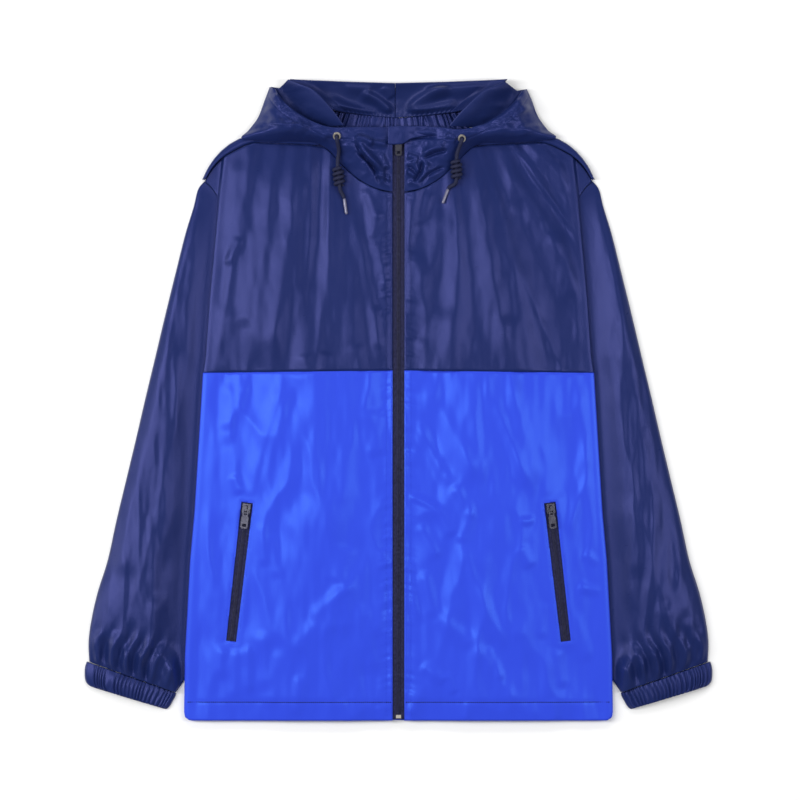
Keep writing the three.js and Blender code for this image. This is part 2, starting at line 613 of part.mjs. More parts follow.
// Turn over the shoulder edge: way runs from the flat part (0) over the edge (1) to the forward seam (2).
const SHOULDER_TURN = [
  { way: 0.7, inset: 0, height: 0 },
  { way: 1, inset: 0.6, height: 0.22 },
  { way: 1, inset: 0, height: 0.5 },
  { way: 1, inset: -0.6, height: 0.78 },
  { way: 1.35, inset: 0, height: 0.98 },
  { way: 2, inset: 0, height: 1 },
];
const NECK_STEP = 0.6;

function shoulderPoint(base, turn, turnNumber) {
  if (base.x < SHOULDER_EDGE[0].baseX - 2) {
    return new THREE.Vector3(base.x, base.y + NECK_STEP * (turnNumber + 1), FLOOR_LEVEL);
  }
  const read = (column) => between(SHOULDER_EDGE, 'baseX', column, base.x);
  const edge = new THREE.Vector2(read('x'), read('y'));
  const seam = new THREE.Vector2(read('seamX'), read('seamY'));
  const start = new THREE.Vector2(base.x, base.y);
  const spot = turn.way <= 1 ? start.clone().lerp(edge, turn.way) : edge.clone().lerp(seam, turn.way - 1);
  const towards = turn.inset < 0 ? seam : start;
  spot.add(towards.clone().sub(edge).normalize().multiplyScalar(Math.abs(turn.inset)));
  return new THREE.Vector3(spot.x, spot.y, lerp(FLOOR_LEVEL, frontLevel(seam.x, seam.y), turn.height));
}

function upperBack(lowEdge, highEdge, shares) {
  const rows = backPanel(lowEdge, highEdge, shares);
  const edge = BACK_COLUMNS.map((column) => backPoint(column, lowEdge, highEdge, 1));
  SHOULDER_TURN.forEach((turn, number) => {
    rows.push(bothSides(edge.map((base) => shoulderPoint(base, turn, number))));
  });
  return rows;
}

// Plan point of the sleeve at a section and a share from the outer edge to the inner edge.
const ARMHOLE_CURVE = new THREE.CatmullRomCurve3(
  [...ARMHOLE].reverse().map((row) => new THREE.Vector3(row.x + SEAM_GAP, row.y, 0)),
);

function sleevePlan(section, share) {
  const x = lerp(section.outerX, section.innerX, share);
  const y = lerp(section.outerY, section.innerY, share);
  const first = SLEEVE_SECTIONS[0];
  const seam = ARMHOLE_CURVE.getPointAt(share);
  const bendX = seam.x - lerp(first.outerX, first.innerX, share);
  const bendY = seam.y - lerp(first.outerY, first.innerY, share);
  return { x: x + bendX * section.bend, y: y + bendY * section.bend };
}

// Height of the sleeve's upper wall: low beneath the body's side fold, full beyond it.
function sleeveLevel(section, x, y, fromOuter, scrunch) {
  const coveredTo = y > ARMPIT_Y ? Math.max(bodyHalf(y), armholeX(y)) : bodyHalf(Math.max(y, HEM_Y));
  const nearCuff = smooth((-300 - y) / 40);
  const free = y > SHOULDER_POINT.y - 4 ? 0 : smooth((x - coveredTo - 3.5) / lerp(42, 12, nearCuff));
  const rounded = Math.sqrt(clamp(fromOuter / 46, 0, 1));
  const folds = foldHeight(SLEEVE_FOLDS, x, y) * smooth(fromOuter / 20);
  return SLEEVE_LOW_LEVEL + free * (section.rise * rounded + folds * smooth(section.rise / 10) + scrunch);
}

const RING_TOP = 10;
const RING_BOTTOM = 4;
const EDGE_RADIUS = (SLEEVE_LOW_LEVEL - FLOOR_LEVEL) / 2;

// One section ring of a flattened tube, with its upper wall from a height function.
function flatRing(plan, span, upperLevel, lowerLevel, topCount, bottomCount) {
  const ring = [];
  const edge = EDGE_RADIUS / span;
  const middle = FLOOR_LEVEL + EDGE_RADIUS;
  const corner = EDGE_RADIUS * Math.SQRT1_2;
  const corners = [
    { share: 0, z: middle },
    { share: edge * (1 - Math.SQRT1_2), z: middle + corner },
  ];
  corners.forEach(({ share, z }) => ring.push(plan(share, z)));
  for (const share of steps(topCount)) {
    const place = lerp(edge, 1 - edge, share);
    ring.push(plan(place, upperLevel(place)));
  }
  ring.push(plan(1 - edge * (1 - Math.SQRT1_2), middle + corner));
  ring.push(plan(1, middle));
  ring.push(plan(1 - edge * (1 - Math.SQRT1_2), middle - corner));
  for (const share of steps(bottomCount)) {
    const place = lerp(1 - edge, edge, share);
    ring.push(plan(place, lowerLevel(place)));
  }
  ring.push(plan(edge * (1 - Math.SQRT1_2), middle - corner));
  return ring;
}

function sleeveWall(side) {
  const places = [0, 0.6, 1.3, 2.2, 3.2, 4.4, 5.8, 7.3, 9, 10.6, 11.8, 12.7, 13.3, 13.9, 14.4, 15];
  return places.map((place) => {
    const section = rowAt(SLEEVE_SECTIONS, Math.min(place, SLEEVE_SECTIONS.length - 1));
    const span = Math.hypot(section.outerX - section.innerX, section.outerY - section.innerY);
    const plan = (share, z) => {
      const spot = sleevePlan(section, share);
      return new THREE.Vector3(side * spot.x, spot.y, z);
    };
    const upper = (share) => {
      const spot = sleevePlan(section, share);
      const past = Math.max(place - SLEEVE_SCRUNCH.start, 0) / (15 - SLEEVE_SCRUNCH.start);
      const wave = Math.sin(2 * Math.PI * (SLEEVE_SCRUNCH.waves * past + share * 1.3));
      const scrunch = past > 0 && past < 1 ? SLEEVE_SCRUNCH.height * wave * smooth(past * 4) : 0;
      return sleeveLevel(section, spot.x, spot.y, share * span, scrunch * smooth((1 - past) * 4));
    };
    return flatRing(plan, span, upper, () => FLOOR_LEVEL, RING_TOP, RING_BOTTOM);
  });
}

// Elastic cuff: a flattened tube gathered by small waves across both faces.
function cuffWall(side) {
  const { count: waveCount, height, pointsPerWave } = CUFF_GATHERS;
  return CUFF_ROWS.map((row) => {
    const span = Math.hypot(row.outerX - row.innerX, row.outerY - row.innerY);
    const plan = (share, z) => new THREE.Vector3(
      side * lerp(row.outerX, row.innerX, share),
      lerp(row.outerY, row.innerY, share),
      z,
    );
    const wave = (share) => height * Math.cos(2 * Math.PI * waveCount * share);
    const crown = (share) => Math.sqrt(clamp(4 * share * (1 - share), 0, 1));
    const atEdge = (share) => smooth(share * 14) * smooth((1 - share) * 14);
    const upper = (share) => SLEEVE_LOW_LEVEL + (CUFF_RISE + row.puff) * crown(share) + atEdge(share) * wave(share);
    const lower = (share) => FLOOR_LEVEL + atEdge(share) * (height + wave(share)) * row.puff;
    const count = waveCount * pointsPerWave;
    return flatRing(plan, span, upper, lower, count, Math.round(count / 3));
  });
}

// Drape of one hood half, from its base over the chest to the rim.
function hoodDrape(side, table) {
  const stations = table.map((row) => {
    const under = row.baseY < 331 ? frontLevel(side * row.baseX, row.baseY) : 0;
    return { ...row, baseZ: under + row.lift };
  });
  const stationCount = 22;
  return steps(stationCount).map((share) => {
    const row = rowAt(stations, share * (stations.length - 1));
    return steps(6).map((v) => {
      const x = lerp(row.baseX, row.rimX, v);
      const y = lerp(row.baseY, row.rimY, v);
      const rounded = lerp(v, Math.sin(v * Math.PI / 2), 0.7);
      const folds = foldHeight(HOOD_FRONT_FOLDS, side * x, y) * smooth(v * 4) * smooth((x - 8) / 8);
      const z = lerp(row.baseZ, row.rimZ, rounded) + row.bulge * Math.sin(Math.PI * v) + folds;
      return new THREE.Vector3(side * x, y, z);
    });
  });
}

// Inner wing of one hood half, from the inner fold's crest under the rim to the outer fold.
function hoodWing(side, table) {
  return steps(8).map((share) => {
    const row = rowAt(table, share * (table.length - 1));
    return steps(6).map((v) => {
      const crest = new THREE.Vector3(row.crestX, row.crestY, row.crestZ);
      const dip = new THREE.Vector3(row.dipX, row.dipY, row.dipZ);
      const fold = new THREE.Vector3(row.foldX, row.foldY, row.foldZ);
      const [start, end, way] = v < 0.5 ? [crest, dip, v * 2] : [dip, fold, v * 2 - 1];
      const point = start.clone().lerp(end, way);
      point.z = lerp(start.z, end.z, smooth(way));
      point.x *= side;
      return point;
    });
  });
}

// Bowl of one hood half: from the gathered band up to the top fold, over it and back under on the table.
function hoodBowl(side) {
  const columns = steps(10);
  const edgeAt = (table, share) => ({
    x: between(table, 'share', 'x', share),
    y: between(table, 'share', 'y', share),
    z: between(table, 'share', 'z', share),
  });
  const shift = (x) => side * x + HOOD_SEAM_X * (1 - smooth(x / 60));
  const rows = steps(7).map((v) => columns.map((share) => {
    const low = edgeAt(HOOD_BOWL_LOW, share);
    const top = edgeAt(HOOD_BOWL_TOP, share);
    const x = shift(lerp(low.x, top.x, v));
    const y = lerp(low.y, top.y, v);
    const sag = HOOD_BOWL_SAG * Math.sin(Math.PI * v) * (1 - share);
    const folds = foldHeight(HOOD_BOWL_FOLDS, x, y) * smooth(v * 5) * smooth((1 - v) * 5);
    return new THREE.Vector3(x, y, lerp(low.z, top.z, v ** 1.3) - sag + folds);
  }));
  const behind = [
    { inset: -0.5, level: 0.75 },
    { inset: 0.3, level: 0.35 },
    { inset: 4, level: 0.05 },
    { inset: HOOD_BACK_RETURN, level: 0 },
  ];
  for (const turn of behind) {
    rows.push(columns.map((share) => {
      const top = edgeAt(HOOD_BOWL_TOP, share);
      const z = lerp(FLOOR_LEVEL, top.z, turn.level);
      return new THREE.Vector3(shift(top.x - turn.inset * share), top.y - turn.inset, z);
    }));
  }
  return rows;
}

// Flap of the right rim across the top of the zip.
function zipFlap() {
  return steps(6).map((share) => {
    const row = rowAt(ZIP_FLAP, share * (ZIP_FLAP.length - 1));
    return steps(3).map((v) => {
      const y = lerp(row.lowY, row.highY, v);
      return new THREE.Vector3(row.x, y, zipLevel(y) + row.lift);
    });
  });
}

const zipLevel = (y) => between(FRONT_LEVELS, 'y', 'zip', y);

function neckBand() {
  const count = NECK_GATHERS.count * NECK_GATHERS.pointsPerWave;
  return steps(3).map((v) => steps(count).map((share) => {
    const across = 2 * share - 1;
    const half = lerp(NECK_BAND.lowHalf, NECK_BAND.highHalf, v);
    const low = NECK_BAND.lowY + NECK_BAND.lowRise * across * across;
    const high = between(HOOD_BOWL_LOW, 'x', 'y', NECK_BAND.highHalf * Math.abs(across)) - NECK_BAND.hoodGap;
    const wave = Math.cos(2 * Math.PI * NECK_GATHERS.count * share) * lerp(0.35, 1, v);
    const z = NECK_GATHERS.level + NECK_GATHERS.height * wave * smooth((1 - Math.abs(across)) * 12);
    return new THREE.Vector3(half * across, lerp(low, high, v), z);
  }));
}

// Strip of tape under the zip's opening, from a surface function and a centre line.
function tapeWall(surface, line, fromAside, toAside, rowCount) {
  return steps(rowCount).map((along) => [0, 0.5, 1].map((share) => {
    const aside = lerp(fromAside, toAside, share);
    const spot = line(along, aside);
    return surface(spot.x, spot.y, -ZIP.tapeDepth);
  }));
}

// Coil of a closed zip: a low bar with chamfered edges along the centre line.
function coilBar(surface, line, rowCount) {
  const half = ZIP.coilWidth / 2;
  const low = -ZIP.tapeDepth + WALL / 2 + SEAM_GAP;
  const high = low + ZIP.coilHeight;
  const outline = [
    [-half, low],
    [half, low],
    [half, high - 0.5],
    [half - 0.8, high],
    [-half + 0.8, high],
    [-half, high - 0.5],
  ];
  const rings = steps(rowCount).map((along) => outline.map(([aside, level]) => {
    const spot = line(along, aside);
    return surface(spot.x, spot.y, level);
  }));
  const positions = rings.flat().flatMap((spot) => [spot.x, spot.y, spot.z]);
  const triangles = [];
  const corners = outline.length;
  for (let r = 0; r < rowCount; r += 1) {
    for (let c = 0; c < corners; c += 1) {
      const [a, b] = [r * corners + c, r * corners + (c + 1) % corners];
      triangles.push(a, b, b + corners, a, b + corners, a + corners);
    }
  }
  for (let c = 1; c < corners - 1; c += 1) {
    const end = rowCount * corners;
    triangles.push(0, c + 1, c, end, end + c, end + c + 1);
  }
  return facingOut(positions, triangles);
}

// Zip slider, its hinge line on the X axis: plate, flanges and the crown that holds the pull.
function sliderGeometry() {
  const barRise = (SLIDER.crownHeight - CROWN_WALL) / 2;
  const plateTop = -barRise;
  const plate = new THREE.BoxGeometry(SLIDER.width, SLIDER.length, SLIDER.plate);
  plate.translate(0, 0, plateTop - SLIDER.plate / 2);
  const flangeDrop = ZIP.coilHeight + 0.4;
  const flanges = [-1, 1].map((side) => {
    const width = (SLIDER.width - ZIP.coilWidth) / 2 - SEAM_GAP;
    const flange = new THREE.BoxGeometry(width, SLIDER.length, flangeDrop + 0.1);
    flange.translate(side * (SLIDER.width - width) / 2, 0, plateTop - SLIDER.plate - flangeDrop / 2 + 0.05);
    return flange;
  });
  const arch = new THREE.Shape();
  const reach = SLIDER.crownLength / 2;
  arch.moveTo(-reach, -0.2);
  arch.lineTo(-reach, SLIDER.crownHeight - 1.2);
  arch.lineTo(-reach + 1.2, SLIDER.crownHeight);
  arch.lineTo(reach - 1.2, SLIDER.crownHeight);
  arch.lineTo(reach, SLIDER.crownHeight - 1.2);
  arch.lineTo(reach, -0.2);
  const inner = reach - 1.5;
  arch.lineTo(inner, -0.2);
  arch.lineTo(inner, SLIDER.crownHeight - CROWN_WALL);
  arch.lineTo(-inner, SLIDER.crownHeight - CROWN_WALL);
  arch.lineTo(-inner, -0.2);
  const crown = new THREE.ExtrudeGeometry(arch, { depth: SLIDER.crownWidth, bevelEnabled: false });
  crown.translate(0, 0, -SLIDER.crownWidth / 2);
  crown.rotateX(Math.PI / 2);
  crown.rotateZ(Math.PI / 2);
  crown.translate(0, HINGE_FROM_CENTRE, plateTop);
  plate.translate(0, HINGE_FROM_CENTRE, 0);
  flanges.forEach((flange) => flange.translate(0, HINGE_FROM_CENTRE, 0));
  return joined(plate, ...flanges, crown);
}

const HINGE_FROM_CENTRE = SLIDER.crownLength / 2 - 1.5 - 1.35;
const HINGE_OVER_PANEL = 3.9;

// Pull tab, its hinge line on the X axis, lying towards -Y: frame around the crown, grip and end hole.
function pullGeometry(width) {
  const outline = new THREE.Shape();
  const top = PULL.bar / 2;
  const end = top - PULL.length;
  const neck = Math.min(PULL.neckWidth, width - 1) / 2;
  const shoulder = top - PULL.bar - PULL.crownHole - 1.4;
  outline.moveTo(-neck, top);
  outline.lineTo(neck, top);
  outline.lineTo(neck, shoulder);
  outline.lineTo(width / 2, shoulder - 2);
  outline.lineTo(width / 2, end + 1.5);
  outline.lineTo(width / 2 - 1.5, end);
  outline.lineTo(-width / 2 + 1.5, end);
  outline.lineTo(-width / 2, end + 1.5);
  outline.lineTo(-width / 2, shoulder - 2);
  outline.lineTo(-neck, shoulder);
  const crownHole = new THREE.Path();
  const holeTop = top - PULL.bar;
  const holeHalf = PULL.crownHoleWidth / 2;
  crownHole.moveTo(-holeHalf, holeTop);
  crownHole.lineTo(-holeHalf, holeTop - PULL.crownHole);
  crownHole.lineTo(holeHalf, holeTop - PULL.crownHole);
  crownHole.lineTo(holeHalf, holeTop);
  outline.holes.push(crownHole);
  const endHole = new THREE.Path();
  const endHalf = width * 0.28;
  endHole.moveTo(-endHalf, end + 6);
  endHole.lineTo(-endHalf, end + 2.2);
  endHole.lineTo(endHalf, end + 2.2);
  endHole.lineTo(endHalf, end + 6);
  outline.holes.push(endHole);
  const plate = new THREE.ExtrudeGeometry(outline, { depth: PULL.thickness, bevelEnabled: false });
  plate.translate(0, 0, -PULL.thickness / 2);
  return plate;
}

// Point of the front moved out along its normal.
function frontSurface(x, y, out) {
  const step = 0.5;
  const slopeX = (frontLevel(x + step, y) - frontLevel(x - step, y)) / (2 * step);
  const slopeY = (frontLevel(x, y + step) - frontLevel(x, y - step)) / (2 * step);
  const normal = new THREE.Vector3(-slopeX, -slopeY, 1).normalize();
  return new THREE.Vector3(x, y, frontLevel(x, y)).addScaledVector(normal, out);
}

const zipSurface = (x, y, out) => new THREE.Vector3(x, y, zipLevel(y) + out);

const mainLine = (along, aside) => ({ x: aside, y: lerp(ZIP.bottomY, ZIP.topY, along) });

function pocketLine(side, extra = 0) {
  const run = new THREE.Vector2(POCKET_ZIP.bottomX - POCKET_ZIP.topX, POCKET_ZIP.bottomY - POCKET_ZIP.topY);
  const length = run.length();
  run.normalize();
  return (along, aside) => {
    const distance = lerp(-extra, length + extra, along);
    const x = POCKET_ZIP.topX + run.x * distance + run.y * aside;
    const y = POCKET_ZIP.topY + run.y * distance - run.x * aside;
    return { x: side * x, y };
  };
}

// Slot of a pocket in the front panel, as a straight prism with rounded ends.
function pocketCutter(side) {
  const line = pocketLine(side);
  const corners = [
    line(0, -POCKET_ZIP.half),
    line(0, POCKET_ZIP.half),
    line(1, POCKET_ZIP.half - 1),
    line(1, -POCKET_ZIP.half + 1),
  ];
  const shape = new THREE.Shape(corners.map((spot) => new THREE.Vector2(spot.x, spot.y)));
  const cutter = new THREE.ExtrudeGeometry(shape, { depth: 40, bevelEnabled: false });
  cutter.translate(0, 0, 1.6);
  return cutter;
}

// Frame of a slider: on its surface, Y along the zip towards its top, Z out of the cloth.
function sliderFrame(surface, low, high) {
  const origin = surface(high.x, high.y, HINGE_OVER_PANEL);
  const below = surface(low.x, low.y, HINGE_OVER_PANEL);
  const along = new THREE.Vector3().subVectors(origin, below).normalize();
  const foot = surface(high.x, high.y, 0);
  const out = new THREE.Vector3().subVectors(origin, foot).normalize();
  const across = new THREE.Vector3().crossVectors(along, out).normalize();
  out.crossVectors(across, along).normalize();
  const matrix = new THREE.Matrix4().makeBasis(across, along, out);
  matrix.setPosition(origin);
  return matrix;
}

// Free cord along its route.
function cordTube(points) {
  const curve = new THREE.CatmullRomCurve3(points.map((point) => new THREE.Vector3(...point)));
  const section = new THREE.Shape();
  for (let i = 0; i < CORD_SIDES; i += 1) {
    const angle = (2 * Math.PI * i) / CORD_SIDES;
    const [x, y] = [Math.cos(angle) * CORD_DIAMETER / 2, Math.sin(angle) * CORD_DIAMETER / 2];
    if (i === 0) {
      section.moveTo(x, y);
    } else {
      section.lineTo(x, y);
    }
  }
  const stepCount = Math.max(Math.round(curve.getLength() / (CORD_DIAMETER * 1.5)), 3);
  return new THREE.ExtrudeGeometry(section, { steps: stepCount, extrudePath: curve, curveSegments: 1 });
}

function eyeletGeometry() {
  const half = EYELET.height / 2;
  const profile = [
    new THREE.Vector2(EYELET.inner, -half),
    new THREE.Vector2(EYELET.outer, -half),
    new THREE.Vector2(EYELET.outer - 0.8, half),
    new THREE.Vector2(EYELET.inner + 0.4, half),
    new THREE.Vector2(EYELET.inner, -half),
  ];
  const ring = new THREE.LatheGeometry(profile, 16);
  ring.rotateX(Math.PI / 2);
  return ring;
}

function knotGeometry() {
  const profile = [
    [0, -0.5], [0.3, -0.5], [0.48, -0.4], [0.44, -0.24], [0.5, -0.08], [0.45, 0.08],
    [0.5, 0.24], [0.4, 0.42], [0.26, 0.5], [0, 0.5],
  ];
  const points = profile.map(([radius, along]) => new THREE.Vector2(radius, along));
  const knot = new THREE.LatheGeometry(points, 10);
  knot.scale(KNOT.width, KNOT.length, KNOT.height);
  return knot;
}

const MATERIALS = {
  navy: new THREE.MeshStandardMaterial({ color: COLOURS.navy, roughness: 0.5, metalness: 0 }),
  royal: new THREE.MeshStandardMaterial({ color: COLOURS.royal, roughness: 0.45, metalness: 0 }),
  tape: new THREE.MeshStandardMaterial({ color: COLOURS.tape, roughness: 0.9, metalness: 0 }),
  coil: new THREE.MeshStandardMaterial({ color: COLOURS.coil, roughness: 0.5, metalness: 0 }),
  gunmetal: new THREE.MeshStandardMaterial({ color: COLOURS.gunmetal, roughness: 0.35, metalness: 1 }),
  silver: new THREE.MeshStandardMaterial({ color: COLOURS.silver, roughness: 0.3, metalness: 1 }),
  cord: new THREE.MeshStandardMaterial({ color: COLOURS.cord, roughness: 0.85, metalness: 0 }),
};

const jacket = new THREE.Group();

function addPiece(name, geometry, finish, matrix) {
  geometry.computeVertexNormals();
  const piece = new THREE.Mesh(geometry, MATERIALS[finish]);
  piece.name = name;
  if (matrix) {
    matrix.decompose(piece.position, piece.quaternion, piece.scale);
  }
  jacket.add(piece);
}

// Body panels.
const backSeam = (x) => colourSeamY(x);
const backTop = (x) => between(BACK_TOP, 'x', 'y', x);
const frontTop = (x) => between(FRONT_TOP, 'x', 'y', x);
const above = (x) => backSeam(x) + SEAM_GAP;
const UPPER_ROWS = [0, 0.045, 0.085, 0.108, 0.2, 0.35, 0.5, 0.65, 0.78, 0.88, 0.95, 1];

addPiece('back_lower', clothWall(backPanel(hemY, backSeam, steps(9)), false), 'royal');
addPiece('back_upper', clothWall(upperBack(above, backTop, UPPER_ROWS), false), 'navy');

for (const [side, word] of [[-1, 'left'], [1, 'right']]) {
  const lower = clothWall(frontPanel(side, hemY, backSeam, steps(12)), false);
  addPiece(`front_lower_${word}`, cutFrom(lower, pocketCutter(side)), 'royal');
  addPiece(`front_upper_${word}`, clothWall(frontPanel(side, above, frontTop, UPPER_ROWS), false), 'navy');
  addPiece(`sleeve_${word}`, clothWall(sleeveWall(side), true), 'navy');
  addPiece(`cuff_${word}`, clothWall(cuffWall(side), true), 'navy');
}

// Hood and neck band.
addPiece('neck_band', clothWall(neckBand(), false, 1.0), 'navy');
addPiece('hood_left', joined(
  clothWall(hoodBowl(-1), false),
  clothWall(hoodWing(-1, HOOD_WING_LEFT), false),
  clothWall(hoodDrape(-1, HOOD_DRAPE_LEFT), false),
), 'navy');
addPiece('hood_right', joined(
  clothWall(hoodBowl(1), false),
  clothWall(hoodWing(1, HOOD_WING_RIGHT), false),
  clothWall(hoodDrape(1, HOOD_DRAPE_RIGHT), false),
  clothWall(zipFlap(), false),
), 'navy');

// Front zip.
for (const [side, word] of [[-1, 'left'], [1, 'right']]) {
  const strip = tapeWall(zipSurface, mainLine, side * SEAM_GAP, side * ZIP.tapeHalf, 10);
  addPiece(`zip_tape_${word}`, clothWall(strip, false), 'tape');
}
const coilLine = (along, aside) => ({ x: aside, y: lerp(ZIP.coilBottomY, ZIP.topY, along) });
addPiece('zip_coil', coilBar(zipSurface, coilLine, 10), 'coil');

const mainFrame = sliderFrame(zipSurface, { x: 0, y: MAIN_SLIDER_Y - 10 }, { x: 0, y: MAIN_SLIDER_Y });
addPiece('zip_slider', sliderGeometry(), 'gunmetal', mainFrame);
addPiece('zip_pull', pullGeometry(MAIN_PULL_WIDTH), 'gunmetal', mainFrame);

// Pocket zips.
for (const [side, word] of [[-1, 'left'], [1, 'right']]) {
  const line = pocketLine(side, 5);
  const tape = tapeWall(frontSurface, line, -POCKET_ZIP.tapeHalf, POCKET_ZIP.tapeHalf, 5);
  addPiece(`pocket_tape_${word}`, clothWall(tape, false), 'tape');
  addPiece(`pocket_coil_${word}`, coilBar(frontSurface, pocketLine(side, -1), 5), 'coil');
  const slot = pocketLine(side);
  const place = POCKET_SLIDER_INSET / 174;
  const frame = sliderFrame(frontSurface, slot(place + 0.08, 0), slot(place, 0));
  addPiece(`pocket_slider_${word}`, sliderGeometry(), 'gunmetal', frame);
  addPiece(`pocket_pull_${word}`, pullGeometry(PULL.width), 'gunmetal', frame);
}

// Bottom stop of the front zip.
const stopHeight = -ZIP.tapeDepth + WALL / 2 + SEAM_GAP + BOTTOM_STOP.height / 2;
const stop = new THREE.BoxGeometry(BOTTOM_STOP.width, BOTTOM_STOP.length, BOTTOM_STOP.height);
const stopY = ZIP.coilBottomY - SEAM_GAP - BOTTOM_STOP.length / 2;
stop.translate(0, stopY, zipLevel(stopY) + stopHeight + BOTTOM_STOP.lift);
addPiece('zip_bottom_stop', stop, 'silver');

// Drawcord ends.
for (const cord of DRAWCORDS) {
  const { eyelet, knot, tip } = cord;
  const out = new THREE.Vector3(eyelet.tiltX, eyelet.tiltY, 1).normalize();
  const upright = new THREE.Vector3(0, 0, 1);
  const seat = new THREE.Vector3(eyelet.x, eyelet.y, eyelet.z).addScaledVector(out, EYELET.lift);
  const tilt = new THREE.Quaternion().setFromUnitVectors(upright, out);
  const unit = new THREE.Vector3(1, 1, 1);
  addPiece(`eyelet_${cord.name}`, eyeletGeometry(), 'silver', new THREE.Matrix4().compose(seat, tilt, unit));
  addPiece(`cord_${cord.name}`, cordTube(cord.upper), 'cord');
  const turn = THREE.MathUtils.degToRad(knot.turn);
  const lay = new THREE.Quaternion().setFromEuler(new THREE.Euler(THREE.MathUtils.degToRad(knot.pitch), 0, turn));
  const place = new THREE.Vector3(knot.x, knot.y, knot.z);
  addPiece(`knot_${cord.name}`, knotGeometry(), 'cord', new THREE.Matrix4().compose(place, lay, unit));
  addPiece(`cord_tail_${cord.name}`, cordTube(cord.tail), 'cord');
  const from = new THREE.Vector3(...tip.from);
  const to = new THREE.Vector3(...tip.to);
  const run = new THREE.Vector3().subVectors(from, to);
  const shape = new THREE.CylinderGeometry(TIP.diameter / 2, TIP.endDiameter / 2, run.length(), 10);
  const middle = new THREE.Vector3().addVectors(from, to).multiplyScalar(0.5);
  const aim = new THREE.Quaternion().setFromUnitVectors(new THREE.Vector3(0, 1, 0), run.clone().normalize());
  addPiece(`cord_tip_${cord.name}`, shape, 'coil', new THREE.Matrix4().compose(middle, aim, unit));
}

export default jacket;
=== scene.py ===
"""Hooded two-colour windbreaker jacket, laid flat on its back.

The cloth and the zips are worked out in millimetres, the drawcord and the studio in metres.
"""
import json
import math

